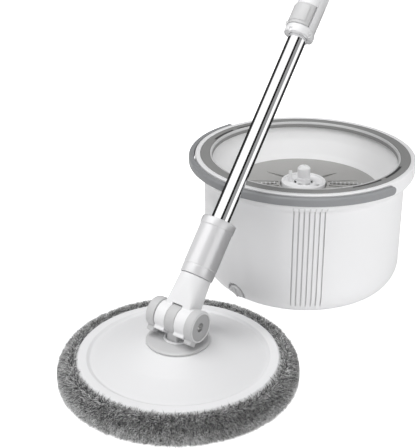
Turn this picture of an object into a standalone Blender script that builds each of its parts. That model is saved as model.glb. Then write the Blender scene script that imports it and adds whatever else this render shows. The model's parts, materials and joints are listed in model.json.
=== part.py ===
"""Round spin mop with its wringing bucket: metres, +Z up.

The origin is the centre of the bucket's base, on the floor. The mop stands in front of the bucket and to its
left, with its handle leaning back over the rim. Six empties carry the pieces: the axes of the bucket, the
bail, the drain plug, the mop head, the handle (its origin on the hinge pin) and the lock lever.
"""

from math import cos, pi, radians, sin

import bmesh
import bpy
from mathutils import Matrix, Vector

# Clearance between pieces that touch or slide.
GAP = 0.0003

# Facets round each group of turned pieces: nested pieces share a count, so that their clearance stays even.
BUCKET_STEPS = 40
HEAD_STEPS = 36
HANDLE_STEPS = 24

# Bucket.
RIM_TOP = 0.1735
LIP_RADIUS = 0.1410
RING_RADIUS = 0.1340
MOUTH_RADIUS = 0.1205
SKIRT_BOTTOM = 0.1665
WALL_RADIUS = 0.1288
WALL_THICKNESS = 0.0024
CORNER_RADIUS = 0.0340
TUB_FLOOR = 0.1212
BAIL_INNER, BAIL_OUTER = 0.1418, 0.1490
BAIL_HEIGHT = 0.0105
BAIL_CENTRE_Z = 0.1675
BAIL_PIVOT_AZIMUTH = radians(130.0)
HUB_RADIUS = 0.0287
HUB_TOP = 0.1350
SPINDLE_RADIUS = 0.0085
SPINDLE_TOP = 0.1565
GROOVE_AZIMUTHS = [radians(-89.0 + 2.75 * (i - 3)) for i in range(7)]
GROOVE_HALF_WIDTH, GROOVE_DEPTH = 0.0006, 0.0011
DRAIN_AZIMUTH = radians(225.0)
DRAIN_DIP = radians(28.0)
RECESS_RADIUS, RECESS_FLOOR, RECESS_BACK = 0.0135, -0.0070, -0.0110

# Where the mop stands, and how its handle leans.
HEAD_X, HEAD_Y = -0.1575, -0.2480
HANDLE_AZIMUTH = radians(37.0)
HANDLE_LEAN = radians(40.3)

# Mop head.
PAD_RADIUS = 0.1365
PLATE_RADIUS = 0.1145
PLATE_RIM_Z = 0.0285
PAD_HOLE_RADIUS = 0.0300
BOSS_RADIUS = 0.0360
BOSS_TOP = 0.0485
PIN_Z = 0.0718
PIN_RADIUS = 0.0040

# Handle, measured along its axis from the hinge pin.
EAR_RADIUS = 0.0165
EAR_INNER_X, EAR_OUTER_X = 0.0069, 0.0210
CAP_RADIUS = 0.0180
CAP_OUTER_X = 0.0322
SLEEVE_START, SLEEVE_END = 0.0510, 0.1185
TUBE_RADIUS, TUBE_BORE = 0.01075, 0.00975
TUBE_START, TUBE_END = 0.0740, 0.7000
LOCK_PIN_AT = 0.0930
NUT_CENTRE = 0.7052
ROD_WIDTH, ROD_THICKNESS = 0.0080, 0.0025
ROD_START, ROD_END = 0.4120, 0.9150
ROD_LEAD = 0.1000
CLAMP_START = 0.3520
LEVER_START, LEVER_END = 0.3625, 0.3885
LEVER_PIN_RADIUS_AT, LEVER_PIN_AZIMUTH = 0.0148, radians(-44.0)
GRIP_RADIUS, GRIP_BORE = 0.0150, 0.0134
GRIP_START, GRIP_END = 0.4218, 0.9550
EYE_AT = 0.9880

# Material name: colour, roughness, metallic.
FINISHES = {
    "white_gloss": ((0.90, 0.90, 0.91), 0.22, 0.0),
    "white_satin": ((0.86, 0.86, 0.87), 0.40, 0.0),
    "grey_ring": ((0.30, 0.30, 0.30), 0.42, 0.0),
    "grey_bail": ((0.32, 0.33, 0.34), 0.38, 0.0),
    "grey_plate": ((0.32, 0.32, 0.31), 0.50, 0.0),
    "silver_grey": ((0.60, 0.60, 0.61), 0.30, 0.0),
    "light_grey": ((0.55, 0.55, 0.56), 0.38, 0.0),
    "fur": ((0.22, 0.22, 0.22), 0.95, 0.0),
    "hook": ((0.12, 0.12, 0.13), 0.90, 0.0),
    "chrome": ((0.86, 0.87, 0.88), 0.05, 1.0),
    "steel": ((0.60, 0.60, 0.60), 0.30, 1.0),
    "black_plastic": ((0.05, 0.05, 0.05), 0.50, 0.0),
}

for old in list(bpy.data.objects):
    bpy.data.objects.remove(old, do_unlink=True)


def new_collection(name):
    collection = bpy.data.collections.new(name)
    bpy.context.scene.collection.children.link(collection)
    return collection


PARTS = new_collection("spin_mop")
TOOLS = new_collection("shaping_tools")


def new_frame(name, parent=None, at=(0, 0, 0), turn=(0, 0, 0)):
    frame = bpy.data.objects.new(name, None)
    PARTS.objects.link(frame)
    frame.parent = parent
    frame.location = at
    frame.rotation_euler = turn
    return frame


def new_finish(name):
    colour, roughness, metallic = FINISHES[name]
    material = bpy.data.materials.new(name)
    material.use_nodes = True
    shader = material.node_tree.nodes["Principled BSDF"]
    shader.inputs["Base Color"].default_value = (*colour, 1.0)
    shader.inputs["Roughness"].default_value = roughness
    shader.inputs["Metallic"].default_value = metallic
    return material


FINISH = {name: new_finish(name) for name in FINISHES}

BUCKET = new_frame("bucket_axis")
BAIL = new_frame("bail_axis", at=(0, 0, BAIL_CENTRE_Z), turn=(0, 0, BAIL_PIVOT_AZIMUTH))
HEAD = new_frame("head_axis", at=(HEAD_X, HEAD_Y, 0), turn=(0, 0, -HANDLE_AZIMUTH))
HANDLE = new_frame("handle_axis", HEAD, (0, 0, PIN_Z), (-HANDLE_LEAN, 0, 0))
LEVER_X = LEVER_PIN_RADIUS_AT * cos(LEVER_PIN_AZIMUTH)
LEVER_Y = LEVER_PIN_RADIUS_AT * sin(LEVER_PIN_AZIMUTH)
LEVER = new_frame("lever_axis", HANDLE, (LEVER_X, LEVER_Y, 0))

# The drain's axis leaves the rounded bottom corner at right angles to it.
CORNER_CENTRE_R = WALL_RADIUS - CORNER_RADIUS
CORNER_CENTRE_Z = CORNER_RADIUS
DRAIN_R = CORNER_CENTRE_R + CORNER_RADIUS * cos(DRAIN_DIP)
DRAIN_Z = CORNER_CENTRE_Z - CORNER_RADIUS * sin(DRAIN_DIP)
DRAIN = new_frame(
    "drain_axis",
    at=(DRAIN_R * cos(DRAIN_AZIMUTH), DRAIN_R * sin(DRAIN_AZIMUTH), DRAIN_Z),
    turn=(0, pi / 2 + DRAIN_DIP, DRAIN_AZIMUTH),
)

TO_PLUS_X = (0, pi / 2, 0)
TO_MINUS_X = (0, -pi / 2, 0)


def new_object(name, mesh, frame, finish, at, turn):
    """A piece when it has a finish, otherwise a shaping tool that the build leaves out."""
    obj = bpy.data.objects.new(name, mesh)
    if finish:
        PARTS.objects.link(obj)
        mesh.materials.append(FINISH[finish])
    else:
        TOOLS.objects.link(obj)
        obj.hide_render = True
        obj.display_type = "WIRE"
    obj.parent = frame
    obj.location = at
    obj.rotation_euler = turn
    return obj


def turned(name, profile, frame, finish=None, steps=32, at=(0, 0, 0), turn=(0, 0, 0)):
    """Screws (radius, height) points round local Z. The outer side runs down; a solid starts and ends at 0."""
    count = len(profile)
    solid = profile[0][0] == 0 and profile[-1][0] == 0
    edges = [(i, (i + 1) % count) for i in range(count - 1 if solid else count)]
    mesh = bpy.data.meshes.new(name)
    mesh.from_pydata([(r, 0, z) for r, z in profile], edges, [])
    obj = new_object(name, mesh, frame, finish, at, turn)
    screw = obj.modifiers.new("turn", "SCREW")
    screw.steps = screw.render_steps = steps
    screw.use_merge_vertices = True
    screw.merge_threshold = 0.00001
    screw.use_smooth_shade = True
    return obj


def cylinder(
    name, radius, start, end, frame, finish=None, segments=24, at=(0, 0, 0), turn=(0, 0, 0), end_radius=None
):
    """A cylinder or cone from start to end along local Z, before at and turn place it."""
    shape = bmesh.new()
    bmesh.ops.create_cone(
        shape,
        cap_ends=True,
        segments=segments,
        radius1=radius,
        radius2=radius if end_radius is None else end_radius,
        depth=end - start,
        matrix=Matrix.Translation((0, 0, (start + end) / 2)),
    )
    return finished(name, shape, frame, finish, at, turn)


def block(name, low, high, frame, finish=None, at=(0, 0, 0), turn=(0, 0, 0)):
    """A box between two corners, before at and turn place it."""
    low, high = Vector(low), Vector(high)
    size = Matrix.Diagonal((*(high - low), 1))
    shape = bmesh.new()
    bmesh.ops.create_cube(shape, size=1, matrix=Matrix.Translation((low + high) / 2) @ size)
    return finished(name, shape, frame, finish, at, turn)


def arc_block(name, inner, outer, bottom, top, start, end, frame, steps=10):
    """A curved bar: a rectangle swept round local Z from one azimuth to another."""
    shape = bmesh.new()
    corners = [(inner, bottom), (outer, bottom), (outer, top), (inner, top)]
    ring = [shape.verts.new((r * cos(start), r * sin(start), z)) for r, z in corners]
    face = shape.faces.new(ring)
    bmesh.ops.spin(
        shape,
        geom=[face, *face.edges, *face.verts],
        cent=(0, 0, 0),
        axis=(0, 0, 1),
        angle=end - start,
        steps=steps,
        use_duplicate=False,
    )
    bmesh.ops.recalc_face_normals(shape, faces=shape.faces)
    return finished(name, shape, frame, None, (0, 0, 0), (0, 0, 0))


def finished(name, shape, frame, finish, at, turn):
    mesh = bpy.data.meshes.new(name)
    shape.to_mesh(mesh)
    shape.free()
    return new_object(name, mesh, frame, finish, at, turn)


def boolean(piece, tools, operation):
    for tool in tools:
        modifier = piece.modifiers.new(tool.name, "BOOLEAN")
        modifier.operation = operation
        modifier.object = tool
    return piece


def join(piece, *tools):
    return boolean(piece, tools, "UNION")


def cut(piece, *tools):
    return boolean(piece, tools, "DIFFERENCE")


def arc(centre_r, centre_z, radius, start_deg, end_deg, points):
    """Points of a round stretch of a profile, from one angle to another about its centre."""
    angles = [radians(start_deg + (end_deg - start_deg) * i / (points - 1)) for i in range(points)]
    return [(centre_r + radius * cos(a), centre_z + radius * sin(a)) for a in angles]


def screw_piece(name, shaft_radius, head_radius, tip, seat, top, frame, at=(0, 0, 0), turn=(0, 0, 0)):
    """A pan-head screw along local Z, its head from seat to top and its tip pointing down."""
    profile = [
        (0, top),
        (head_radius * 0.7, top),
        (head_radius, top - (top - seat) * 0.5),
        (head_radius, seat),
        (shaft_radius, seat),
        (shaft_radius, tip),
        (0, tip),
    ]
    return turned(name, profile, frame, "steel", 10, at, turn)


def recess_cup():
    """The drain's recess as a plug, trimmed to just under the bucket's outer surface."""
    skin = 0.0004
    core = [(0, 0.1400), (WALL_RADIUS - skin, 0.1400)]
    core += arc(CORNER_CENTRE_R, CORNER_CENTRE_Z, CORNER_RADIUS - skin, 0, -90, 7)
    core += [(0, skin)]
    inside = turned("bucket_core", core, BUCKET, steps=BUCKET_STEPS)
    cup = cylinder("recess_cup", RECESS_RADIUS + 0.0022, RECESS_BACK, 0.0050, DRAIN, segments=24)
    return boolean(cup, [inside], "INTERSECT")


def build_outer_bucket():
    inner_wall = WALL_RADIUS - WALL_THICKNESS
    inner_corner = CORNER_RADIUS - WALL_THICKNESS
    profile = [(0, WALL_THICKNESS)]
    profile += arc(CORNER_CENTRE_R, CORNER_CENTRE_Z, inner_corner, -90, 0, 7)
    profile += [
        (inner_wall, 0.1655),
        (WALL_RADIUS - 0.0003, 0.1655),
        (WALL_RADIUS, 0.1520),
        (0.1330, 0.1560),
        (0.1385, 0.1610),
        (0.1385, 0.1686),
        (0.1310, 0.1686),
        (0.1310, 0.1702),
        (RING_RADIUS + GAP, 0.1702),
        (RING_RADIUS + GAP, RIM_TOP),
        (LIP_RADIUS - 0.0010, RIM_TOP),
        (LIP_RADIUS, RIM_TOP - 0.0010),
        (LIP_RADIUS, 0.1585),
        (0.1395, 0.1540),
        (0.1355, 0.1500),
        (0.1308, 0.1472),
        (WALL_RADIUS, 0.1430),
    ]
    profile += arc(CORNER_CENTRE_R, CORNER_CENTRE_Z, CORNER_RADIUS, 0, -90, 7)
    profile += [(0, 0)]
    bucket = turned("outer_bucket", profile, BUCKET, "white_gloss", BUCKET_STEPS)
    rest = block("bail_rest", (-0.0070, 0.1400, -0.0090), (0.0070, 0.1465, -BAIL_HEIGHT / 2 - GAP), BAIL)
    join(bucket, rest, recess_cup())
    for side, turn in (("left", TO_PLUS_X), ("right", TO_MINUS_X)):
        cut(bucket, cylinder(f"bail_hole_{side}", 0.0030, 0.1300, 0.1450, BAIL, segments=12, turn=turn))
    cut(bucket, cylinder("recess", RECESS_RADIUS, RECESS_FLOOR, 0.0300, DRAIN, segments=24))
    cut(bucket, cylinder("drain_hole", 0.0092, -0.0200, 0.0100, DRAIN, segments=20))
    for number, azimuth in enumerate(GROOVE_AZIMUTHS):
        low = (WALL_RADIUS - GROOVE_DEPTH, -GROOVE_HALF_WIDTH, 0.0260)
        high = (WALL_RADIUS + 0.0030, GROOVE_HALF_WIDTH, 0.1425)
        cut(bucket, block(f"groove_{number + 1}", low, high, BUCKET, turn=(0, 0, azimuth)))


def build_rim_ring():
    profile = [
        (RING_RADIUS - 0.0005, RIM_TOP),
        (RING_RADIUS, RIM_TOP - 0.0005),
        (RING_RADIUS, 0.1705),
        (0.1218, 0.1705),
        (0.1206, SKIRT_BOTTOM),
        (0.1182, SKIRT_BOTTOM),
        (0.1186, 0.1690),
        (0.1195, 0.1712),
        (MOUTH_RADIUS, RIM_TOP),
    ]
    ring = turned("rim_ring", profile, BUCKET, "grey_ring", BUCKET_STEPS)
    slot_inner, slot_outer = 0.1229, 0.1245
    for pivot in (-45.5, 134.5):
        for start, end in ((-22.5, -1.8), (1.8, 22.5)):
            angles = radians(pivot + start), radians(pivot + end)
            name = f"ring_slot_{pivot}_{start}"
            cut(ring, arc_block(name, slot_inner, slot_outer, 0.1690, 0.1750, *angles, BUCKET, 8))


def build_inner_tub():
    floor_under = TUB_FLOOR - 0.0022
    profile = [
        (0.1290, 0.1680),
        (0.1290, 0.1658),
        (0.1252, 0.1655),
        (0.1202, 0.1500),
        (0.1108, 0.1300),
        (0.1062, 0.1225),
        (0.1035, floor_under),
        (0.0160, floor_under),
        (0.0160, 0.1040),
        (0.0045, 0.1040),
        (0.0045, TUB_FLOOR),
        (0.1010, TUB_FLOOR),
        (0.1036, 0.1232),
        (0.1086, 0.1312),
        (0.1178, 0.1500),
        (0.1232, 0.1680),
    ]
    turned("inner_tub", profile, BUCKET, "white_satin", BUCKET_STEPS)


def build_scrub_plate():
    """The plate rises a little towards the hub, whose disc sits in a recess at the middle."""
    bottom, hub_recess = TUB_FLOOR + GAP, 0.1237
    profile = [
        (0.0985, 0.1270),
        (0.1000, 0.1262),
        (0.1000, bottom),
        (0.0140, bottom),
        (0.0140, hub_recess),
        (0.0302, hub_recess),
        (0.0302, 0.1303),
        (0.0315, 0.1305),
    ]
    turned("scrub_plate", profile, BUCKET, "grey_plate", BUCKET_STEPS)


def build_hub():
    axle = [(0, 0.1495), (0.0042, 0.1495), (0.0042, 0.1036), (0.0070, 0.1036), (0.0070, 0.1000), (0, 0.1000)]
    turned("hub_axle", axle, BUCKET, "steel", 12)
    bearing = [(0.0110, 0.1287), (0.0110, 0.1244), (0.0045, 0.1244), (0.0045, 0.1287)]
    turned("hub_bearing", bearing, BUCKET, "steel", 18)
    disc = [
        (HUB_RADIUS - 0.0011, HUB_TOP),
        (HUB_RADIUS, HUB_TOP - 0.0008),
        (HUB_RADIUS, 0.1252),
        (HUB_RADIUS - 0.0010, 0.1242),
        (0.0113, 0.1242),
        (0.0113, 0.1290),
        (0.0068, 0.1290),
        (0.0068, 0.1310),
        (0.0135, 0.1310),
        (0.0135, 0.1325),
        (HUB_RADIUS - 0.0032, 0.1325),
        (HUB_RADIUS - 0.0025, HUB_TOP),
    ]
    hub_disc = turned("hub_disc", disc, BUCKET, "white_gloss", 28)
    spindle = [
        (0, SPINDLE_TOP - 0.0015),
        (0.0030, SPINDLE_TOP - 0.0015),
        (0.0034, SPINDLE_TOP),
        (0.0066, SPINDLE_TOP),
        (SPINDLE_RADIUS, SPINDLE_TOP - 0.0022),
        (SPINDLE_RADIUS, 0.1330),
        (0.0122, 0.1330),
        (0.0122, 0.1313),
        (0.0046, 0.1313),
        (0.0046, 0.1500),
        (0, 0.1500),
    ]
    turned("spindle", spindle, BUCKET, "white_gloss", 18)
    fin_azimuth = radians(176)
    fin_at = (0.0158 * cos(fin_azimuth), 0.0158 * sin(fin_azimuth), 0)
    fin_low, fin_high = (-0.0011, -0.0030, 0.1328), (0.0011, 0.0030, 0.1470)
    block("drive_fin", fin_low, fin_high, BUCKET, "white_gloss", fin_at, (0, 0, fin_azimuth))
    for number, azimuth in ((1, radians(147)), (2, radians(-33))):
        at = (0.0200 * cos(azimuth), 0.0200 * sin(azimuth), 0)
        cut(hub_disc, cylinder(f"hub_screw_hole_{number}", 0.0017, 0.1255, 0.1380, BUCKET, segments=12, at=at))
        screw_piece(f"hub_screw_{number}", 0.0014, 0.0026, 0.1265, 0.1328, 0.1340, BUCKET, at)


def build_bail():
    """The bail is a half ring with round ends, so it is a whole ring cut through its pivot plane."""
    low, high = -BAIL_HEIGHT / 2, BAIL_HEIGHT / 2
    section = [
        (BAIL_OUTER - 0.0014, high),
        (BAIL_OUTER, high - 0.0014),
        (BAIL_OUTER, low + 0.0006),
        (BAIL_OUTER - 0.0006, low),
        (BAIL_INNER, low),
        (BAIL_INNER, high),
    ]
    bail = turned("bail_handle", section, BAIL, "grey_bail", BUCKET_STEPS)
    cut(bail, block("bail_other_half", (-0.2, -0.2, -0.05), (0.2, -0.0001, 0.05), BAIL))
    for side, turn in (("left", TO_PLUS_X), ("right", TO_MINUS_X)):
        inner, outer = BAIL_INNER + 0.0002, BAIL_OUTER - 0.0003
        end_radius = BAIL_HEIGHT / 2 - 0.00005
        join(bail, cylinder(f"bail_end_{side}", end_radius, inner, outer, BAIL, segments=20, turn=turn))
        cut(bail, cylinder(f"bail_bore_{side}", 0.0026, 0.1380, 0.1476, BAIL, segments=12, turn=turn))
        pin = [(0, 0.1472), (0.0023, 0.1472), (0.0023, 0.1362), (0, 0.1362)]
        turned(f"bail_pin_{side}", pin, BAIL, "steel", 12, turn=turn)


def build_drain():
    seat = [(0.0089, -0.0073), (0.0089, -0.0112), (0.0050, -0.0112), (0.0050, -0.0073)]
    turned("drain_seat", seat, DRAIN, "white_satin", 20)
    knob = [
        (0, 0.0004),
        (0.0088, 0.0004),
        (0.0102, -0.0008),
        (0.0102, -0.0066),
        (0.0046, -0.0066),
        (0.0046, -0.0110),
        (0, -0.0110),
    ]
    plug = turned("drain_plug", knob, DRAIN, "light_grey", 20)
    join(plug, block("drain_grip", (-0.0078, -0.0012, -0.0010), (0.0078, 0.0012, 0.0026), DRAIN))


def build_mop_head():
    pad = [
        (0.1180, 0.0265),
        (0.1225, 0.0290),
        (0.1280, 0.0275),
        (0.1330, 0.0225),
        (PAD_RADIUS, 0.0140),
        (0.1360, 0.0050),
        (0.1320, 0.0),
        (PAD_HOLE_RADIUS, 0.0),
        (PAD_HOLE_RADIUS, 0.0105),
        (0.1155, 0.0105),
        (0.1155, 0.0220),
    ]
    turned("mop_pad", pad, HEAD, "fur", HEAD_STEPS)
    hook = [(0.1110, 0.0120), (0.1110, 0.0108), (0.0320, 0.0108), (0.0320, 0.0120)]
    turned("hook_disc", hook, HEAD, "hook", HEAD_STEPS)
    base = [(0.1119, 0.0145), (0.1119, 0.0123), (0.0160, 0.0123), (0.0160, 0.0145)]
    head_base = turned("head_base", base, HEAD, "white_satin", HEAD_STEPS)
    cover = [
        (0.1120, PLATE_RIM_Z),
        (0.1140, 0.0274),
        (PLATE_RADIUS, 0.0255),
        (PLATE_RADIUS, 0.0125),
        (0.1123, 0.0125),
        (0.1123, 0.0252),
        (0.1115, 0.0262),
        (0.1040, 0.0262),
        (0.1015, 0.0244),
        (0.0370, 0.0427),
        (0.0209, 0.0427),
        (0.0209, 0.0452),
        (0.0375, 0.0452),
        (0.1018, 0.0266),
        (0.1035, PLATE_RIM_Z),
    ]
    head_cover = turned("head_cover", cover, HEAD, "white_gloss", HEAD_STEPS)
    socket = [
        (0.0170, 0.0372),
        (0.0180, 0.0362),
        (0.0180, 0.0166),
        (0.0240, 0.0166),
        (0.0240, 0.0148),
        (0.0155, 0.0148),
        (0.0155, 0.0290),
        (0.0092, 0.0290),
        (0.0092, 0.0372),
    ]
    turned("socket_cap", [(0, 0.0389), (0.0168, 0.0389), (0.0168, 0.0375), (0, 0.0375)], HEAD, "light_grey", 20)
    spindle_socket = turned("spindle_socket", socket, HEAD, "light_grey", 20)
    for number in range(2):
        low, high = (0.0105, -0.0015, 0.0180), (0.0165, 0.0015, 0.0295)
        dog = block(f"drive_dog_{number}", low, high, HEAD, turn=(0, 0, pi * number))
        join(spindle_socket, dog)
    for number in range(3):
        azimuth = 2 * pi * number / 3 + pi / 6
        at = (0.0880 * cos(azimuth), 0.0880 * sin(azimuth), 0)
        post = cylinder(f"screw_post_{number + 1}", 0.0035, 0.0149, 0.0290, HEAD, segments=12, at=at)
        join(head_cover, post)
        cut(head_cover, cylinder(f"post_bore_{number + 1}", 0.0015, 0.0140, 0.0260, HEAD, segments=8, at=at))
        cut(head_base, cylinder(f"base_bore_{number + 1}", 0.0018, 0.0100, 0.0160, HEAD, segments=8, at=at))
        cut(head_base, cylinder(f"base_sink_{number + 1}", 0.0036, 0.0100, 0.0135, HEAD, segments=12, at=at))
        name = f"head_screw_{number + 1}"
        screw_piece(name, 0.0012, 0.0031, -0.0240, -0.0132, -0.0123, HEAD, at, (pi, 0, 0))


def build_yoke():
    flange = [
        (0, BOSS_TOP),
        (BOSS_RADIUS - 0.0010, BOSS_TOP),
        (BOSS_RADIUS, BOSS_TOP - 0.0008),
        (BOSS_RADIUS, 0.0455),
        (0.0205, 0.0455),
        (0.0205, 0.0425),
        (0, 0.0425),
    ]
    boss = turned("swivel_boss", flange, HEAD, "light_grey", 32)
    lug_half = 0.0065
    lug_foot = block("lug_foot", (-lug_half, -0.0110, 0.0470), (lug_half, 0.0110, PIN_Z), HEAD)
    pin_at = (0, 0, PIN_Z)
    lug_eye = cylinder("lug_eye", 0.0170, -lug_half, lug_half, HEAD, segments=24, at=pin_at, turn=TO_PLUS_X)
    stop_nose = block("stop_nose", (-0.0060, 0.0050, PIN_Z - 0.0110), (0.0060, 0.0215, PIN_Z - 0.0024), HEAD)
    join(boss, lug_foot, lug_eye, stop_nose)
    bore = PIN_RADIUS + 0.0002
    cut(boss, cylinder("lug_bore", bore, -0.02, 0.02, HEAD, segments=16, at=pin_at, turn=TO_PLUS_X))
    ring_top = BOSS_TOP + 0.0014
    ring = [(0.0156, ring_top), (0.0162, BOSS_TOP + GAP), (0.0136, BOSS_TOP + GAP), (0.0142, ring_top)]
    turned("boss_trim_ring", ring, HEAD, "white_gloss", 24)
    plate = [(0, 0.0422), (0.0250, 0.0422), (0.0250, 0.0402), (0, 0.0402)]
    retainer = turned("boss_retainer", plate, HEAD, "light_grey", 24)
    for number in range(3):
        azimuth = 2 * pi * number / 3 + pi / 2
        at = (0.0120 * cos(azimuth), 0.0120 * sin(azimuth), 0)
        cut(boss, cylinder(f"pilot_{number + 1}", 0.0016, 0.0400, 0.0470, HEAD, segments=8, at=at))
        cut(retainer, cylinder(f"retainer_bore_{number + 1}", 0.0016, 0.0390, 0.0430, HEAD, segments=8, at=at))
        name = f"retainer_screw_{number + 1}"
        screw_piece(name, 0.0012, 0.0026, -0.0465, -0.0399, -0.0389, HEAD, at, (pi, 0, 0))
    pin_end = EAR_OUTER_X - 0.0005
    pin = cylinder("hinge_pin", PIN_RADIUS, -pin_end, pin_end, HEAD, "steel", 16, pin_at, TO_PLUS_X)
    for side, turn in (("left", TO_MINUS_X), ("right", TO_PLUS_X)):
        cut(pin, cylinder(f"pin_thread_{side}", 0.0020, 0.0130, 0.0250, HEAD, segments=8, at=pin_at, turn=turn))


def build_fork():
    neck_start, spigot_end = 0.0090, 0.1125
    fork = cylinder("fork", EAR_RADIUS, -EAR_OUTER_X, EAR_OUTER_X, HANDLE, "white_gloss", 28, turn=TO_PLUS_X)
    tab = block("ear_tab", (-0.0208, -0.0080, -0.0190), (0.0208, 0.0080, -0.0060), HANDLE)
    neck = cylinder("neck", 0.0152, neck_start, SLEEVE_START - GAP, HANDLE, segments=24, end_radius=0.0170)
    spigot = cylinder("spigot", 0.0132, 0.0480, spigot_end, HANDLE, segments=24)
    join(fork, tab, neck, spigot)
    slot_eye = cylinder("slot_eye", 0.0190, -EAR_INNER_X, EAR_INNER_X, HANDLE, segments=28, turn=TO_PLUS_X)
    slot_foot = block("slot_foot", (-EAR_INNER_X, -0.0250, -0.0300), (EAR_INNER_X, 0.0250, 0.0020), HANDLE)
    pin_bore = cylinder("ear_bore", PIN_RADIUS + 0.0002, -0.03, 0.03, HANDLE, segments=16, turn=TO_PLUS_X)
    seat_start = TUBE_START - GAP
    tube_seat = cylinder("tube_seat", TUBE_RADIUS + GAP, seat_start, 0.1200, HANDLE, segments=HANDLE_STEPS)
    lock_at = (0, 0, LOCK_PIN_AT)
    lock_bore = cylinder("fork_lock_bore", 0.0023, -0.02, 0.02, HANDLE, segments=8, at=lock_at, turn=TO_PLUS_X)
    cut(fork, slot_eye, slot_foot, pin_bore, tube_seat, lock_bore)


def build_hinge_caps():
    cap_inner = EAR_OUTER_X + GAP
    face = CAP_OUTER_X - 0.0008
    profile = [
        (CAP_RADIUS - 0.0012, CAP_OUTER_X),
        (CAP_RADIUS, CAP_OUTER_X - 0.0012),
        (CAP_RADIUS, cap_inner),
        (0.0020, cap_inner),
        (0.0020, face),
        (CAP_RADIUS - 0.0028, face),
        (CAP_RADIUS - 0.0024, CAP_OUTER_X),
    ]
    for side, turn, sign in (("left", TO_MINUS_X, -1), ("right", TO_PLUS_X, 1)):
        cap = turned(f"hinge_cap_{side}", profile, HANDLE, "light_grey", 28, turn=turn)
        reach = sorted((sign * (cap_inner + 0.0001), sign * (CAP_OUTER_X - 0.0014)))
        join(cap, block(f"cap_tab_{side}", (reach[0], -0.0050, -0.0224), (reach[1], 0.0050, -0.0168), HANDLE))
        screw_piece(f"cap_screw_{side}", 0.0016, 0.0042, 0.0140, face + GAP, face + 0.0018, HANDLE, turn=turn)


def build_sleeve_and_tube():
    sleeve = [
        (0.0194, SLEEVE_END),
        (0.0200, SLEEVE_END - 0.0008),
        (0.0200, 0.1100),
        (0.0192, 0.1090),
        (0.0192, 0.0625),
        (0.0188, 0.0617),
        (0.0192, 0.0609),
        (0.0192, 0.0530),
        (0.0184, SLEEVE_START),
        (0.0135, SLEEVE_START),
        (0.0135, 0.1128),
        (TUBE_RADIUS + GAP, 0.1128),
        (TUBE_RADIUS + GAP, SLEEVE_END),
    ]
    turned("sleeve", sleeve, HANDLE, "silver_grey", HANDLE_STEPS)
    tube = [(TUBE_RADIUS, TUBE_END), (TUBE_RADIUS, TUBE_START), (TUBE_BORE, TUBE_START), (TUBE_BORE, TUBE_END)]
    lower_tube = turned("lower_tube", tube, HANDLE, "chrome", HANDLE_STEPS)
    lock_at = (0, 0, LOCK_PIN_AT)
    lock_bore = cylinder("tube_lock_bore", 0.0023, -0.02, 0.02, HANDLE, segments=8, at=lock_at, turn=TO_PLUS_X)
    cut(lower_tube, lock_bore)
    cylinder("fixing_pin", 0.0020, -0.0130, 0.0130, HANDLE, "steel", 10, lock_at, TO_PLUS_X)


def build_drive():
    """The twisted rod turns the nut in the clutch housing as the grip slides along the lower tube."""
    housing = [
        (0.0126, NUT_CENTRE + 0.0020),
        (0.0126, TUBE_END + GAP),
        (TUBE_BORE - GAP, TUBE_END + GAP),
        (TUBE_BORE - GAP, TUBE_END - 0.0240),
        (0.0060, TUBE_END - 0.0240),
        (0.0060, NUT_CENTRE - 0.0018),
        (0.0100, NUT_CENTRE - 0.0018),
        (0.0100, NUT_CENTRE + 0.0020),
    ]
    turned("clutch_housing", housing, HANDLE, "black_plastic", 24)
    keeper_low = NUT_CENTRE + 0.0023
    keeper_top = keeper_low + 0.0020
    keeper = [(0.0126, keeper_top), (0.0126, keeper_low), (0.0060, keeper_low), (0.0060, keeper_top)]
    turned("nut_keeper", keeper, HANDLE, "steel", 24)
    nut = cylinder("drive_nut", 0.0097, NUT_CENTRE - 0.0015, NUT_CENTRE + 0.0015, HANDLE, "light_grey", 24)
    slot_x, slot_y = ROD_WIDTH / 2 + 0.0006, ROD_THICKNESS / 2 + 0.00085
    low, high = (-slot_x, -slot_y, NUT_CENTRE - 0.01), (slot_x, slot_y, NUT_CENTRE + 0.01)
    cut(nut, block("nut_slot", low, high, HANDLE))
    build_twisted_rod()
    stop_top, stop_low = ROD_START - GAP, ROD_START - 0.0035
    stop = [(0, stop_top), (0.0085, stop_top), (0.0085, stop_low), (0, stop_low)]
    turned("rod_stop", stop, HANDLE, "black_plastic", 16)
    anchor = [(0.0131, 0.9120), (0.0131, 0.9000), (0.0046, 0.9000), (0.0046, 0.9120)]
    turned("rod_anchor", anchor, HANDLE, "black_plastic", 24)


def build_twisted_rod():
    """A flat strip twisted about its own axis: a loft of turned sections, flat in the nut's slot at the nut."""
    sections_per_turn = 12
    steps = round((ROD_END - ROD_START) / ROD_LEAD * sections_per_turn)
    half_width, half_thickness = ROD_WIDTH / 2, ROD_THICKNESS / 2
    corners = [(half_width, half_thickness), (-half_width, half_thickness)]
    corners += [(-x, -y) for x, y in corners]
    shape = bmesh.new()
    rings = []
    for step in range(steps + 1):
        s = ROD_START + (ROD_END - ROD_START) * step / steps
        angle = 2 * pi * (s - NUT_CENTRE) / ROD_LEAD
        turn = Matrix.Rotation(angle, 3, "Z")
        rings.append([shape.verts.new(turn @ Vector((x, y, s))) for x, y in corners])
    for low, high in zip(rings, rings[1:]):
        for i in range(4):
            j = (i + 1) % 4
            shape.faces.new((low[i], low[j], high[j], high[i]))
    shape.faces.new(reversed(rings[0]))
    shape.faces.new(rings[-1])
    finished("drive_rod", shape, HANDLE, "steel", (0, 0, 0), (0, 0, 0))


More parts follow.
